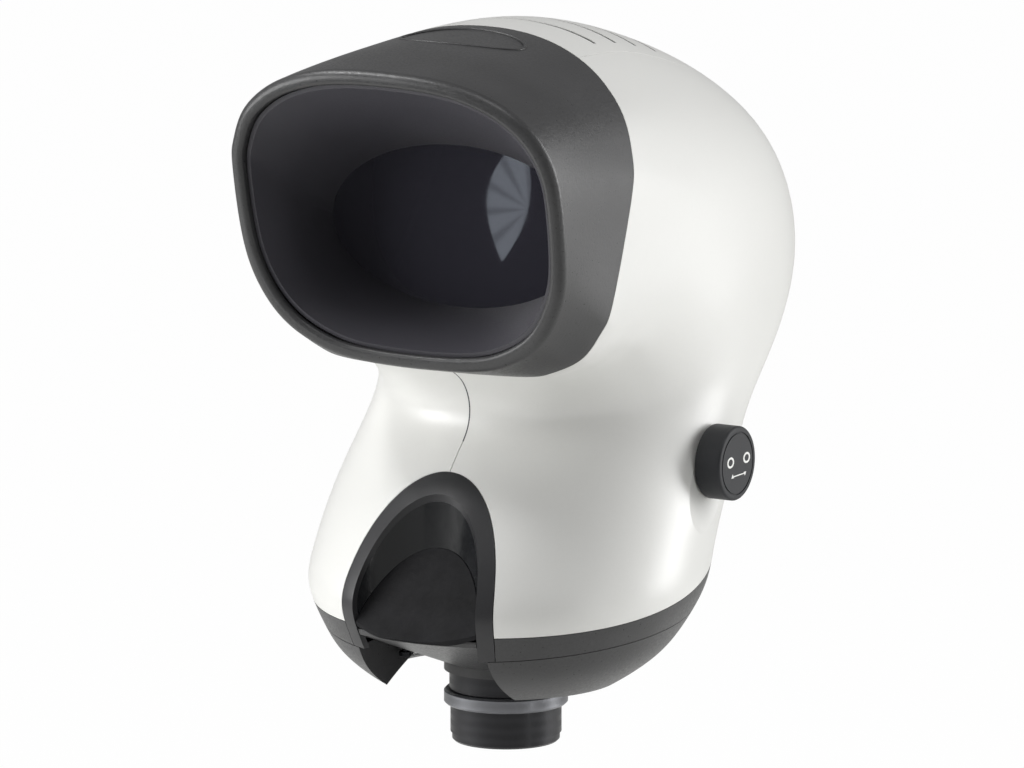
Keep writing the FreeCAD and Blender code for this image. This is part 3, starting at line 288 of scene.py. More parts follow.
@dataclass(frozen=True)
class BoardFinish(Finish):
    """Solder-masked circuit board with copper lines under the mask."""

    line_mm: float = 2.4
    line_edge: float = 0.55

    def grain(self, tree: bpy.types.NodeTree, place: bpy.types.NodeSocket) -> bpy.types.NodeSocket:
        """Square maze of copper lines.

        Args:
            tree: The material's node tree.
            place: Socket with the place on the surface.

        Returns:
            Socket with the pattern, from 0 to 1.
        """
        cells = add_node(tree, "ShaderNodeTexVoronoi", {"distance": "MANHATTAN", "feature": "F1"},
                         {"Vector": place, "Scale": PER_METRE / self.line_mm, "Randomness": 0.35})
        edge = add_node(tree, "ShaderNodeMath", {"operation": "GREATER_THAN"},
                        {0: cells.outputs["Distance"], 1: self.line_edge})
        return edge.outputs[0]


class Finishes:
    """Every finish of the head, by material slot."""

    def __init__(self) -> None:
        """Make one material per slot."""
        glass = {"Transmission Weight": 1.0, "IOR": 1.52}
        self.kinds: dict[str, Finish] = {
            # moulded ABS from a spark-eroded tool: even matt grain that breaks up the highlights
            "dark_abs": Finish("Spark textured ABS, charcoal", "#39393a", 0.37, grain_mm=1.3, relief=0.5,
                               relief_mm=0.14, mottle=0.28, uneven=0.1, sockets={"IOR": 1.5}),
            # same plastic with a finer grain, matt so that it does not stray light to the eye; its colour is set
            # lighter than the housing's, painted light for the shaded inside of the hood
            "liner_black": Finish("Matt ABS, black", "#424147", 0.44, grain_mm=0.8, relief=0.25, relief_mm=0.08,
                                  mottle=0.12, sockets={"IOR": 1.5}),
            # tinted optical glass: clear reflections over a dark inside; the grey of the pane's diffuse share is
            # painted light that lifts the whole window to a dim grey
            "window_glass": Finish("Tinted float glass", "#46454f", 0.02, grain_mm=30.0, relief=0.01,
                                   relief_mm=0.01, mottle=0.02, uneven=0.01,
                                   sockets={**glass, "Transmission Weight": 0.55}),
            # sprayed two-part enamel over a moulded shell: satin, with a faint orange peel
            "white_casing": Finish("Satin enamel, warm white", "#e3e3e0", 0.36, grain_mm=1.6, relief=0.08,
                                   relief_mm=0.04, mottle=0.012, uneven=0.03, cloud_mm=90.0,
                                   sockets={"IOR": 1.5, "Coat Weight": 0.6, "Coat Roughness": 0.34}),
            # polished tool: gloss black moulding
            "gloss_black": Finish("Gloss ABS, black", "#1b1c1e", 0.2, grain_mm=3.0, relief=0.05, relief_mm=0.05,
                                  mottle=0.1, uneven=0.04, sockets={"IOR": 1.5}),
            # coarse etched tool: matt panel that gives back little of the lamps' light
            "panel_black": Finish("Coarse matt ABS, black", "#19191b", 0.75, grain_mm=2.2, relief=0.6,
                                  relief_mm=0.25, mottle=0.45, uneven=0.1, cloud_mm=12.0,
                                  sockets={"IOR": 1.5, "Specular IOR Level": 0.2}),
            # ground and turned bar stock
            "steel": TurnedMetal("Turned steel", "#b7b9bc", 0.3, 1.0, relief=0.15, relief_mm=0.03, mottle=0.05,
                                 ring_mm=0.6, along="X"),
            # dyed anodic layer: dark, with a soft metal sheen along the tool's rings
            "black_anodised": TurnedMetal("Black anodised aluminium", "#2b2b2e", 0.34, 0.45, relief=0.2,
                                          relief_mm=0.04, mottle=0.12, uneven=0.05, ring_mm=0.8),
            # thinner, undyed anodic layer
            "grey_anodised": TurnedMetal("Grey anodised aluminium", "#7d7e82", 0.33, 0.85, relief=0.2,
                                         relief_mm=0.04, mottle=0.08, uneven=0.05, ring_mm=0.8),
            # coated optical glass
            "lens_glass": Finish("Coated crown glass", "#eef4f2", 0.01, grain_mm=40.0, relief=0.005,
                                 relief_mm=0.01, mottle=0.01, uneven=0.005, sockets=glass),
            # plain bearing brass, as turned
            "brass": TurnedMetal("Turned brass", "#c8a25b", 0.28, 1.0, relief=0.15, relief_mm=0.03, ring_mm=0.6,
                                 along="X"),
            # pad-printed ink, a little thin at its edges
            "white_ink": Finish("Printed ink, white", "#ebebe8", 0.55, grain_mm=0.6, relief=0.2, relief_mm=0.02,
                                mottle=0.05),
            # rough casting with machined faces
            "cast_aluminium": Finish("Sand-cast aluminium", "#a4a6a9", 0.48, 1.0, grain_mm=1.2, relief=0.5,
                                     relief_mm=0.15, mottle=0.12, uneven=0.08),
            # silver on the front of polished glass
            "mirror_silver": Finish("Front-silvered glass", "#e7e9ec", 0.03, 1.0, grain_mm=25.0, relief=0.01,
                                    relief_mm=0.01, mottle=0.02, uneven=0.01),
            # green lacquer over copper and glass fibre
            "circuit_board": BoardFinish("Solder-masked board", "#1f5c3d", 0.38, relief=0.3, relief_mm=0.04,
                                         mottle=0.22, cloud_mm=8.0, sockets={"IOR": 1.5}),
            # etched pane that spreads the lamps' light
            "lamp_pane": Finish("Frosted acrylic", "#eef0ef", 0.28, grain_mm=0.8, relief=0.3, relief_mm=0.05,
                                mottle=0.03, sockets={"Transmission Weight": 0.85, "IOR": 1.49}),
            # yellowish phosphor in clear resin
            "led_white": Finish("Phosphor-filled resin", "#f1edc8", 0.3, grain_mm=0.6, relief=0.1, relief_mm=0.03,
                                mottle=0.06, sockets={"IOR": 1.5}),
        }
        # variants that the record has no slot for
        self.extra = {
            # the housing's plastic with a closer spark texture; its colour is set darker than the housing's,
            # painted shade that holds down the rim lamp's sheen on the knob's face
            "knob_shaded_abs": Finish("Fine textured ABS, shaded dark grey", "#2a2b2e", 0.55, grain_mm=0.5, relief=0.5,
                               relief_mm=0.08, mottle=0.14, uneven=0.06,
                               sockets={"IOR": 1.5, "Specular IOR Level": 0.35}),
            # the same plastic from a stoned tool; its colour is set darker than the housing's, painted shade on
            # the arch's trim
            "trim_shaded_abs": Finish("Satin ABS, shaded dark grey", "#2b2b2d", 0.34, grain_mm=0.7, relief=0.25,
                               relief_mm=0.06, mottle=0.12, uneven=0.05, sockets={"IOR": 1.5}),
            # matt black strips in the cover's slots: painted shade for the darkness inside them
            "slot_shade_black": Finish("Matt black, slot shade", "#1c1c1e", 0.95, grain_mm=0.4, relief=0.8, relief_mm=0.2,
                                 mottle=0.3, sockets={"IOR": 1.5, "Specular IOR Level": 0.15}),
            # oil-blackened screws
            "black_steel": TurnedMetal("Blackened steel", "#26272a", 0.4, 0.7, relief=0.15, relief_mm=0.03,
                                       mottle=0.08, ring_mm=0.5),
        }
        self.materials = {slot: kind.build() for slot, kind in (self.kinds | self.extra).items()}

    def dress(self, piece: bpy.types.Object, slot: str) -> None:
        """Give a piece one finish all over.

        Args:
            piece: A CAD node or a new piece.
            slot: The record's material slot.
        """
        if not piece.data.materials:
            piece.data.materials.append(self.materials[slot])
        for index in range(len(piece.material_slots)):
            piece.material_slots[index].material = self.materials[slot]

    def dress_nodes(self) -> None:
        """Give every CAD node the finish of the slot that the record names for it, or its own variant."""
        # the arch's trim takes the darker copy of the housing's plastic: painted shade
        own = {"arch_trim": "trim_shaded_abs", "tray_screws": "black_steel"}
        for subpart in frame["record"]["subparts"]:
            name = subpart["node"]
            self.dress(frame["nodes"][name], own.get(name, subpart["material_slot"]))


# ---- modelling by hand ----
def deselect() -> None:
    """Leave edit mode and select nothing."""
    if bpy.context.object and bpy.context.object.mode != "OBJECT":
        bpy.ops.object.mode_set(mode="OBJECT")
    bpy.ops.object.select_all(action="DESELECT")


def select_faces(test: Callable[[Vector, Vector], bool]) -> None:
    """In edit mode, select the faces whose centre and normal pass a test.

    Args:
        test: Takes a face's centre and normal and says whether it is wanted.
    """
    bpy.ops.mesh.select_mode(type="FACE")
    mesh = bmesh.from_edit_mesh(bpy.context.object.data)
    for face in mesh.faces:
        face.select_set(bool(test(face.calc_center_median(), face.normal)))
    mesh.select_flush_mode()
    bmesh.update_edit_mesh(bpy.context.object.data)


def select_edges(test: Callable[[Vector, Vector], bool]) -> None:
    """In edit mode, select the edges whose two ends pass a test.

    Args:
        test: Takes an edge's two ends and says whether it is wanted.
    """
    bpy.ops.mesh.select_mode(type="EDGE")
    mesh = bmesh.from_edit_mesh(bpy.context.object.data)
    for edge in mesh.edges:
        edge.select_set(bool(test(edge.verts[0].co, edge.verts[1].co)))
    bmesh.update_edit_mesh(bpy.context.object.data)


def settle(piece: bpy.types.Object, smooth_angle: float = 35.0) -> None:
    """Apply a piece's place and modifiers and smooth its shading.

    Args:
        piece: The piece, which becomes the active object.
        smooth_angle: Edges sharper than this many degrees stay sharp.
    """
    deselect()
    piece.select_set(True)
    bpy.context.view_layer.objects.active = piece
    bpy.ops.object.transform_apply(location=True, rotation=True, scale=True)
    for modifier in list(piece.modifiers):
        bpy.ops.object.modifier_apply(modifier=modifier.name)
    bpy.ops.object.shade_smooth_by_angle(angle=math.radians(smooth_angle))
    piece.select_set(False)


def join(pieces: list[bpy.types.Object], name: str) -> bpy.types.Object:
    """Join pieces into one.

    Args:
        pieces: The pieces, the first of which takes the others in.
        name: Name of the whole.

    Returns:
        The whole.
    """
    deselect()
    for piece in pieces:
        piece.select_set(True)
    bpy.context.view_layer.objects.active = pieces[0]
    bpy.ops.object.join()
    whole = bpy.context.object
    whole.name = name
    return whole


def thicken(sheet: bpy.types.Object, depth: float) -> None:
    """Give an open sheet depth on its inner side.

    Args:
        sheet: The sheet.
        depth: Depth in millimetres.
    """
    solid = sheet.modifiers.new("depth", "SOLIDIFY")
    solid.thickness = depth * MM
    solid.offset = -1


@dataclass
class SubAssembly:
    """A group of pieces that belong together, with its sizes in millimetres."""

    finishes: Finishes

    def add(self, piece: bpy.types.Object, body: str, slot: str, *nodes: str,
            finish: str | None = None) -> None:
        """Finish a new piece: its slot's finish, its body and the nodes it stands for.

        Args:
            piece: The settled piece.
            body: The CAD body it moves with.
            slot: The record's material slot.
            nodes: CAD nodes that it replaces.
            finish: Name of a finish of its own, where it isn't the slot's.
        """
        self.finishes.dress(piece, finish or slot)
        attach(piece, body)
        if nodes:
            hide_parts(*nodes)
        log.info("%s: %d faces", piece.name, len(piece.data.polygons))


@dataclass
class EyeDistanceKnob(SubAssembly):
    """Round knob on the right-hand side that sets the distance between the eyes' images.

    Its place, radius, thickness and stem are those of the CAD node that it stands for.
    """

    radius: float = 17.5
    base_x: float = 89.4
    thickness: float = 13.6
    centre_y: float = 37.0
    centre_z: float = 135.0
    edge_round: float = 1.3
    rim_width: float = 2.6
    groove_width: float = 0.8
    groove_depth: float = 0.5
    stem_radius: float = 6.0
    stem_length: float = 31.9
    sides: int = 96
    front_segments: int = 5
    back_segments: int = 4
    sharp_angle: float = 30.0

    def build(self) -> None:
        """Shape the knob: cylinder, grooved face, rounded rim and a stem behind."""
        deselect()
        middle = at(self.base_x + self.thickness / 2, self.centre_y, self.centre_z)
        bpy.ops.mesh.primitive_cylinder_add(vertices=self.sides, radius=self.radius * MM,
                                            depth=self.thickness * MM, end_fill_type="NGON",
                                            location=middle, rotation=(0, math.pi / 2, 0))
        knob = bpy.context.object
        knob.name = "eye_distance_knob_turned"
        bpy.ops.object.transform_apply(location=True, rotation=True, scale=True)
        bpy.ops.object.mode_set(mode="EDIT")
        face_x = middle.x + self.thickness * MM / 2
        back_x = middle.x - self.thickness * MM / 2
        select_faces(lambda centre, normal: normal.x > FACING)
        bpy.ops.mesh.inset(thickness=self.rim_width * MM)
        bpy.ops.mesh.inset(thickness=self.groove_width * MM)
        select_faces(lambda centre, normal: normal.x > FACING and self.in_groove(centre))
        bpy.ops.mesh.extrude_region_shrink_fatten(
            TRANSFORM_OT_shrink_fatten={"value": -self.groove_depth * MM})
        for end_x, segments in ((face_x, self.front_segments), (back_x, self.back_segments)):
            select_edges(lambda a, b: self.at_rim(a, end_x) and self.at_rim(b, end_x))
            bpy.ops.mesh.bevel(offset=self.edge_round * MM, segments=segments, affect="EDGES")
        select_faces(lambda centre, normal: normal.x < -FACING and centre.x < back_x + SAME_PLACE)
        bpy.ops.mesh.inset(thickness=(self.radius - self.edge_round - self.stem_radius) * MM)
        bpy.ops.mesh.extrude_region_move(
            TRANSFORM_OT_translate={"value": (-self.stem_length * MM, 0, 0)})
        bpy.ops.object.mode_set(mode="OBJECT")
        settle(knob, self.sharp_angle)
        # the knob's finish is the darker copy of the housing's plastic: painted shade
        self.add(knob, "eye_distance_drive", "dark_abs", "eye_distance_knob", finish="knob_shaded_abs")

    def distance(self, point: Vector) -> float:
        """Distance of a point from the knob's axis, in millimetres."""
        centre = at(0, self.centre_y, self.centre_z)
        return math.hypot(point.y - centre.y, point.z - centre.z) / MM

    def at_rim(self, point: Vector, end_x: float) -> bool:
        """Whether a point lies on the knob's largest circle at one of its ends."""
        return abs(point.x - end_x) < SAME_PLACE and self.distance(point) > self.radius - NEAR

    def in_groove(self, point: Vector) -> bool:
        """Whether a face's centre lies in the ring groove of the knob's face."""
        inner = self.radius - self.rim_width - self.groove_width
        return inner - NEAR < self.distance(point) < self.radius - self.rim_width + NEAR


@dataclass
class Pictogram(SubAssembly):
    """Printed mark on the knob's face: two eyes and a double arrow under them.

    An arrow head starts as the end of a three-sided bar of radius 1, which is 1.5 long and 0.87 to each side.
    """

    face_x: float = 103.0
    centre_y: float = 38.0
    centre_z: float = 135.0
    eye_radius: float = 2.1
    line_radius: float = 0.5
    eye_spread: float = 7.6
    eye_rise: float = 1.4
    arrow_half: float = 7.0
    arrow_drop: float = 5.6
    head_length: float = 2.0
    head_half: float = 1.1
    relief: float = 0.12
    eye_height: float = 1.25
    eye_segments: tuple[int, int] = (40, 10)
    bar_width: float = 0.5
    head_centre: float = 0.6
    triangle_length: float = 1.5
    triangle_half: float = 0.87

    def build(self) -> None:
        """Model the marks flat on the face and join them."""
        deselect()
        marks = [self.eye(side) for side in (-1, 1)] + [self.bar()] + [self.head(side) for side in (-1, 1)]
        mark = join(marks, "knob_mark_printed")
        settle(mark, 40.0)
        self.add(mark, "eye_distance_drive", "white_ink", "knob_pictogram")

    def place(self, y: float, z: float) -> Vector:
        """Point on the knob's face, from its centre."""
        return at(self.face_x, self.centre_y + y, self.centre_z + z)

    def eye(self, side: int) -> bpy.types.Object:
        """One eye: a flattened ring.

        Args:
            side: -1 for the left eye and 1 for the right one.

        Returns:
            The ring.
        """
        around, across = self.eye_segments
        bpy.ops.mesh.primitive_torus_add(
            major_radius=self.eye_radius * MM, minor_radius=self.line_radius * MM, major_segments=around,
            minor_segments=across, location=self.place(side * self.eye_spread, self.eye_rise),
            rotation=(0, math.pi / 2, 0))
        ring = bpy.context.object
        ring.scale = (1.0, self.eye_height, self.relief / self.line_radius)
        bpy.ops.object.transform_apply(location=True, rotation=True, scale=True)
        return ring

    def bar(self) -> bpy.types.Object:
        """The arrow's shaft.

        Returns:
            A flat bar.
        """
        bpy.ops.mesh.primitive_cube_add(size=1.0, location=self.place(0, -self.arrow_drop))
        shaft = bpy.context.object
        shaft.scale = (2 * self.relief * MM, 2 * (self.arrow_half - self.head_length) * MM,
                       self.bar_width * MM)
        bpy.ops.object.transform_apply(location=True, rotation=True, scale=True)
        return shaft

    def head(self, side: int) -> bpy.types.Object:
        """One arrow head: a flat three-sided bar.

        Args:
            side: -1 for the left head and 1 for the right one.

        Returns:
            The head.
        """
        middle = side * (self.arrow_half - self.head_length * self.head_centre)
        bpy.ops.mesh.primitive_cylinder_add(vertices=3, radius=1.0, depth=2 * self.relief * MM,
                                            location=self.place(middle, -self.arrow_drop),
                                            rotation=(-side * math.pi / 2, 0, math.pi / 2))
        tip = bpy.context.object
        bpy.ops.object.transform_apply(location=False, rotation=True, scale=True)
        tip.scale = (1.0, self.head_length / self.triangle_length * MM,
                     self.head_half / self.triangle_half * MM)
        bpy.ops.object.transform_apply(location=True, rotation=True, scale=True)
        return tip


@dataclass
class SlotTrap(SubAssembly):
    """Dark curved plate close under the cover's slots, which keeps dust and light out."""

    rows: tuple[float, ...] = (0.5, 19.5, 38.5, 57.5, 76.5)
    half_length: float = 45.0
    steps: int = 18
    drop: float = 4.2
    thickness: float = 1.0
    missed_z: float = 330.0

    def build(self) -> None:
        """Lay a grid under the cover, shape it to the crown and thicken it."""
        deselect()
        bpy.ops.mesh.primitive_grid_add(x_subdivisions=self.steps, y_subdivisions=len(self.rows) - 1, size=1.0)
        plate = bpy.context.object
        plate.name = "slot_trap"
        ordered = sorted(plate.data.vertices, key=lambda v: (round(v.co.y, 4), v.co.x))
        across = self.steps + 1
        cover = frame["nodes"]["top_cover"]
        for index, vertex in enumerate(ordered):
            row, column = divmod(index, across)
            x = (column / self.steps * 2 - 1) * self.half_length
            above = at(x, self.rows[row], HIGH)
            height = on_surface(cover, above, AXIS_DOWN, at(0, 0, self.missed_z)).z
            vertex.co = Vector((above.x, above.y, height - self.drop * MM))
        thicken(plate, self.thickness)
        settle(plate, 40.0)
        self.add(plate, "head", "liner_black")


@dataclass
class SlotShadeStrips(SubAssembly):
    """Dark strips that fill the cover's slots to just under its surface: painted shade for the darkness inside
    the slots.
    """

    first_y: float = 10.0
    pitch: float = 19.0
    count: int = 4
    half_length: float = 41.6
    half_width: float = 1.1
    drop: float = 0.45
    depth: float = 2.6
    beside: float = 2.6
    steps: int = 20
    missed_z: float = 330.0

    def build(self) -> None:
        """Model one strip per slot and join them."""
        cover = frame["nodes"]["top_cover"]
        strips = [self.strip(cover, self.first_y + index * self.pitch) for index in range(self.count)]
        slot_shade_fill = join(strips, "slot_shade_strips")
        settle(slot_shade_fill, 40.0)
        self.add(slot_shade_fill, "head", "liner_black", finish="slot_shade_black")

    def strip(self, cover: bpy.types.Object, middle_y: float) -> bpy.types.Object:
        """One strip, bent to the crown.

        Args:
            cover: The slotted top cover.
            middle_y: Place of the slot's middle line in millimetres.

        Returns:
            The strip, with its thickness applied.
        """
        deselect()
        bpy.ops.mesh.primitive_grid_add(x_subdivisions=self.steps, y_subdivisions=1, size=1.0)
        strip = bpy.context.object
        for vertex in strip.data.vertices:
            x = vertex.co.x * 2 * self.half_length
            y = middle_y + vertex.co.y * 2 * self.half_width
            heights = [self.height(cover, x, middle_y + side * self.beside) for side in (-1, 1)]
            vertex.co = Vector((at(x, 0, 0).x, at(0, y, 0).y, sum(heights) / 2 - self.drop * MM))
        thicken(strip, self.depth)
        settle(strip, 40.0)
        return strip

    def height(self, cover: bpy.types.Object, x: float, y: float) -> float:
        """Height of the cover's outside at a place, in metres."""
        return on_surface(cover, at(x, y, HIGH), AXIS_DOWN, at(0, 0, self.missed_z)).z


@dataclass
class SeamShadeStrip(SubAssembly):
    """Dark strip in the joint between the two casings, from the hood's foot to the arch: painted shade for the
    shadow in the joint.
    """

    half_width: float = 0.32
    proud: float = 0.04
    depth: float = 1.6
    high_z: float = 184.5
    low_z: float = 148.5
    steps: int = 36
    beside: float = 0.6
    before_y: float = -200.0
    missed_y: float = -40.0

    def build(self) -> None:
        """Lay a narrow grid on the joint and give it depth."""
        deselect()
        bpy.ops.mesh.primitive_grid_add(x_subdivisions=2, y_subdivisions=self.steps, size=1.0)
        strip = bpy.context.object
        strip.name = "casing_seam_shade"
        casing = frame["nodes"]["right_casing"]
        for vertex in strip.data.vertices:
            z = self.low_z + (vertex.co.y + 0.5) * (self.high_z - self.low_z)
            y = on_surface(casing, at(self.beside, self.before_y, z), AXIS_INWARD, at(0, self.missed_y, 0)).y
            vertex.co = Vector((vertex.co.x * 2 * self.half_width * MM, y - self.proud * MM, at(0, 0, z).z))
        thicken(strip, self.depth)
        settle(strip, 40.0)
        self.add(strip, "head", "liner_black")


@dataclass
class BadgeBead(SubAssembly):
    """Raised bead round the blank oval plate on top of the hood."""

    centre_y: float = -40.0
    half_length: float = 32.2
    half_width: float = 16.2
    bead: float = 0.75
    segments: int = 96
    bead_segments: int = 10
    flatness: float = 0.8
    missed_z: float = 338.0

    def build(self) -> None:
        """Bend a thin ring to the oval and lay it on the hood's crown."""
        deselect()
        bpy.ops.mesh.primitive_torus_add(major_radius=self.half_length * MM, minor_radius=self.bead * MM,
                                         major_segments=self.segments,
                                         minor_segments=self.bead_segments)
        ring = bpy.context.object
        ring.name = "badge_bead"
        hood = frame["nodes"]["viewing_hood"]
        for vertex in ring.data.vertices:
            angle = math.atan2(vertex.co.y, vertex.co.x)
            grow = math.hypot(vertex.co.x, vertex.co.y) / MM - self.half_length
            x = (self.half_length + grow) * math.cos(angle)
            y = self.centre_y + (self.half_width + grow) * math.sin(angle)
            line = (self.half_length * math.cos(angle), self.centre_y + self.half_width * math.sin(angle))
            height = on_surface(hood, at(*line, HIGH), AXIS_DOWN, at(0, 0, self.missed_z)).z
            vertex.co = Vector((at(x, 0, 0).x, at(0, y, 0).y, height + vertex.co.z * self.flatness))
        settle(ring, 60.0)
        self.add(ring, "head", "dark_abs")


# ---- studio ----
@dataclass
class Lamp:
    """One soft panel light that faces the head, with lengths in metres and angles in degrees."""

    name: str
    azimuth: float
    elevation: float
    distance: float
    width: float
    height: float
    watts: float

    def build(self, centre: Vector) -> None:
        """Place the panel.

        Args:
            centre: Point that the panel faces.
        """
        back = towards(self.azimuth, self.elevation)
        light = bpy.data.lights.new(self.name, "AREA")
        light.shape = "RECTANGLE"
        light.size = self.width
        light.size_y = self.height
        light.energy = self.watts
        lamp = bpy.data.objects.new(self.name, light)
        lamp.location = centre + back * self.distance
        lamp.rotation_mode = "QUATERNION"
        lamp.rotation_quaternion = (-back).to_track_quat("-Z", "Y")
        bpy.context.scene.collection.objects.link(lamp)


@dataclass
class Studio:
    """Pale floor, soft light and the camera, with lengths in metres."""

    azimuth: float = 30.0
    elevation: float = 11.0
    distance: float = 8.0
    frame_width: float = 0.4782
    floor_drop: float = 0.40
    floor_size: float = 16.0
    ambient: float = 0.29
    floor_glow: float = 0.985
    aim_right: float = 0.0028
    aim_up: float = 0.1658
    aim_back: float = 0.0098
    sensor_width: float = 36.0
    sight: float = 50.0

    def lamps(self) -> Iterable[Lamp]:
        """The panels.

        Returns:
            Key, rim, top, crest and edge lights.
        """
        yield Lamp("key_panel", -50.0, 10.0, 1.6, 1.0, 1.0, 19.0)
        yield Lamp("rim_panel", 128.0, 12.0, 1.5, 0.6, 1.3, 16.5)
        yield Lamp("top_panel", 25.0, 70.0, 1.6, 0.6, 0.6, 4.0)
        yield Lamp("crest_panel", -62.0, 54.0, 1.5, 0.6, 0.25, 8.0)
        yield Lamp("edge_strip", 78.0, -8.0, 1.3, 0.08, 1.0, 0.8)

    def build(self) -> None:
        """Make the floor, world, lamps and camera."""
        centre = at(0, 20, 180)
        self.floor()
        self.world()
        for lamp in self.lamps():
            lamp.build(centre)
        self.camera()
        Umbrella(bpy.context.scene.camera.location.copy()).build()
        bpy.context.scene.view_settings.view_transform = "Standard"

    def floor(self) -> None:
        """Wide plain floor under the head."""
        deselect()
        bpy.ops.mesh.primitive_plane_add(size=self.floor_size, location=(0, 0, -self.floor_drop))
        floor = bpy.context.object
        floor.name = "studio_floor"
        material, tree = bare_material("Matt white floor")
        matt = add_node(tree, "ShaderNodeBsdfDiffuse", {}, {"Color": linear("#f2f2f0")})
        glow = add_node(tree, "ShaderNodeEmission", {}, {"Color": (1, 1, 1, 1), "Strength": 1.0})
        seen = self.seen(tree)
        share = add_node(tree, "ShaderNodeMath", {"operation": "MULTIPLY"}, {0: seen, 1: self.floor_glow})
        mix = add_node(tree, "ShaderNodeMixShader", {},
                       {0: share.outputs[0], 1: matt.outputs[0], 2: glow.outputs[0]})
        under = add_node(tree, "ShaderNodeNewGeometry")
        clear = add_node(tree, "ShaderNodeBsdfTransparent")
        one_sided = add_node(tree, "ShaderNodeMixShader", {},
                             {0: under.outputs["Backfacing"], 1: mix.outputs[0], 2: clear.outputs[0]})
        tree.links.new(one_sided.outputs[0], tree.nodes["Material Output"].inputs["Surface"])
        floor.data.materials.append(material)

    @staticmethod
    def seen(tree: bpy.types.NodeTree) -> bpy.types.NodeSocket:
        """Tell rays that see the background from those that gather its light.

        Args:
            tree: Node tree of the floor's material or of the world.

        Returns:
            Socket with 1 for the eye, straight or through glass, and 0 for diffuse light and gloss.
        """
        path = add_node(tree, "ShaderNodeLightPath")
        either = add_node(tree, "ShaderNodeMath", {"operation": "MAXIMUM"},
                          {0: path.outputs["Is Camera Ray"], 1: path.outputs["Is Transmission Ray"]})
        return either.outputs[0]

    def world(self) -> None:
        """White backdrop for the eye and an even dim light for the head."""
        world = bpy.data.worlds.new("studio_world")
        world.use_nodes = True
        tree = world.node_tree
        background = tree.nodes["Background"]
        background.inputs["Color"].default_value = (1, 1, 1, 1)
        level = add_node(tree, "ShaderNodeMapRange", {},
                         {"Value": self.seen(tree), "To Min": self.ambient, "To Max": 1.0})
        tree.links.new(level.outputs["Result"], background.inputs["Strength"])
        bpy.context.scene.world = world

    def camera(self) -> None:
        """Camera on the right-hand front, a little above."""
        azimuth = math.radians(self.azimuth)
        back = towards(self.azimuth, self.elevation)
        right = Vector((math.cos(azimuth), math.sin(azimuth), 0))
        up = back.cross(right)
        target = AXIS + right * self.aim_right + up * self.aim_up + back * self.aim_back
        data = bpy.data.cameras.new("camera")
        data.sensor_width = self.sensor_width
        data.lens = data.sensor_width * self.distance / self.frame_width
        data.clip_end = self.sight
        camera = bpy.data.objects.new("camera", data)
        camera.location = target + back * self.distance
        camera.rotation_mode = "QUATERNION"
        camera.rotation_quaternion = (-back).to_track_quat("-Z", "Y")
        bpy.context.scene.collection.objects.link(camera)
        bpy.context.scene.camera = camera


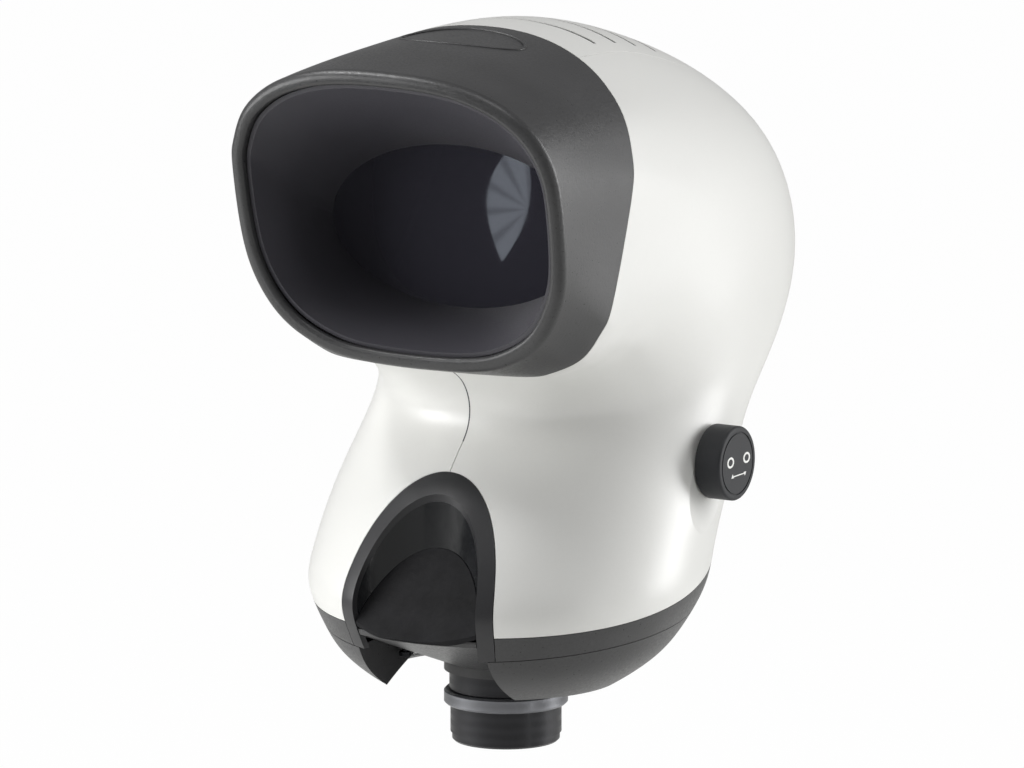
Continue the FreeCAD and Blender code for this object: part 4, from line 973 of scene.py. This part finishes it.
@dataclass
class Umbrella:
    """Studio umbrella whose image shows in the viewing window, with a black card behind it.

    Both are seen by gloss alone. Their shapes are laid out in the window's plane, in millimetres from the
    objective's foot, and then moved along the line of sight that the window throws back.
    """

    camera: Vector
    window_y: float = -43.0
    tip: tuple[float, float] = (22.7, 236.0)
    crown: tuple[float, float] = (34.0, 296.0)
    left_bulge: float = 13.5
    right_bulge: float = 9.0
    hub: tuple[float, float] = (37.0, 262.0)
    ribs: int = 11
    steps: int = 24
    fullness: float = 0.9
    away: float = 0.07
    strength: float = 4.0
    fold_strength: float = 0.62
    fold_edge: float = -0.2
    card_width: float = 520.0
    card_height: float = 240.0
    card_middle_z: float = 250.0
    card_away: float = 1.1

    def thrown(self, x: float, z: float, away: float) -> Vector:
        """Point that the window shows at a place in its own plane.

        Args:
            x, z: The place in the window's plane, in millimetres.
            away: Distance from the window, as a share of the camera's.

        Returns:
            The point in metres.
        """
        place = at(x, self.window_y, z)
        camera = self.camera.copy()
        camera.y = 2 * place.y - camera.y
        return place + (place - camera) * away

    def build(self) -> None:
        """Make the umbrella's lit leaf and the card."""
        self.leaf()
        self.card()

    def leaf(self) -> None:
        """Pointed leaf with folds that fan out from the umbrella's hub."""
        deselect()
        bpy.ops.mesh.primitive_circle_add(vertices=self.steps * 2, radius=1.0, fill_type="NGON")
        leaf = bpy.context.object
        leaf.name = "studio_umbrella"
        tip, crown = Vector(self.tip), Vector(self.crown)
        side = Vector((crown.y - tip.y, tip.x - crown.x)).normalized()
        for vertex in leaf.data.vertices:
            share = 0.5 - vertex.co.y / 2
            widest = self.right_bulge if vertex.co.x > 0 else -self.left_bulge
            bulge = widest * math.sin(math.pi * share) ** self.fullness
            point = crown.lerp(tip, share) + side * bulge * (1.0 if abs(vertex.co.x) > 1e-4 else 0.0)
            vertex.co = self.thrown(point.x, point.y, self.away)
        material, tree = bare_material("Umbrella cloth")
        hub = self.thrown(*self.hub, self.away)
        place = add_node(tree, "ShaderNodeTexCoord").outputs["Object"]
        near = add_node(tree, "ShaderNodeVectorMath", {"operation": "SUBTRACT"}, {0: place, 1: hub})
        part = add_node(tree, "ShaderNodeSeparateXYZ", {}, {0: near.outputs[0]})
        angle = add_node(tree, "ShaderNodeMath", {"operation": "ARCTAN2"},
                         {0: part.outputs["Z"], 1: part.outputs["X"]})
        folds = add_node(tree, "ShaderNodeMath", {"operation": "MULTIPLY"},
                         {0: angle.outputs[0], 1: self.ribs})
        wave = add_node(tree, "ShaderNodeMath", {"operation": "SINE"}, {0: folds.outputs[0]})
        ramp = add_node(tree, "ShaderNodeMapRange", {},
                        {"Value": wave.outputs[0], "From Min": -1.0, "From Max": self.fold_edge,
                         "To Min": self.strength * self.fold_strength, "To Max": self.strength})
        glow = add_node(tree, "ShaderNodeEmission", {},
                        {"Color": linear("#c3ccd8"), "Strength": ramp.outputs["Result"]})
        tree.links.new(glow.outputs[0], tree.nodes["Material Output"].inputs["Surface"])
        leaf.data.materials.append(material)
        self.gloss_only(leaf)

    def card(self) -> None:
        """Black card that keeps the rest of the window dark."""
        deselect()
        bpy.ops.mesh.primitive_plane_add(size=1.0)
        card = bpy.context.object
        card.name = "studio_card"
        for vertex in card.data.vertices:
            vertex.co = self.thrown(vertex.co.x * self.card_width,
                                    self.card_middle_z + vertex.co.y * self.card_height,
                                    self.away * self.card_away)
        material = bpy.data.materials.new("Black card")
        material.use_nodes = True
        shader = material.node_tree.nodes["Principled BSDF"]
        shader.inputs["Base Color"].default_value = linear("#2c2c30")
        shader.inputs["Roughness"].default_value = 1.0
        card.data.materials.append(material)
        self.gloss_only(card)

    @staticmethod
    def gloss_only(piece: bpy.types.Object) -> None:
        """Hide a stage piece from all but glossy rays.

        Args:
            piece: The stage piece.
        """
        for kind in RayKind:
            setattr(piece, kind.value, kind is RayKind.GLOSSY)


def main() -> None:
    """Dress the nodes, build the new pieces and the studio."""
    logging.basicConfig(level=logging.INFO, format="%(name)s %(message)s")
    finishes = Finishes()
    finishes.dress_nodes()
    for assembly in (EyeDistanceKnob, Pictogram, SlotTrap, SlotShadeStrips, SeamShadeStrip, BadgeBead):
        assembly(finishes).build()
    Studio().build()


if __name__ == "__main__":
    main()
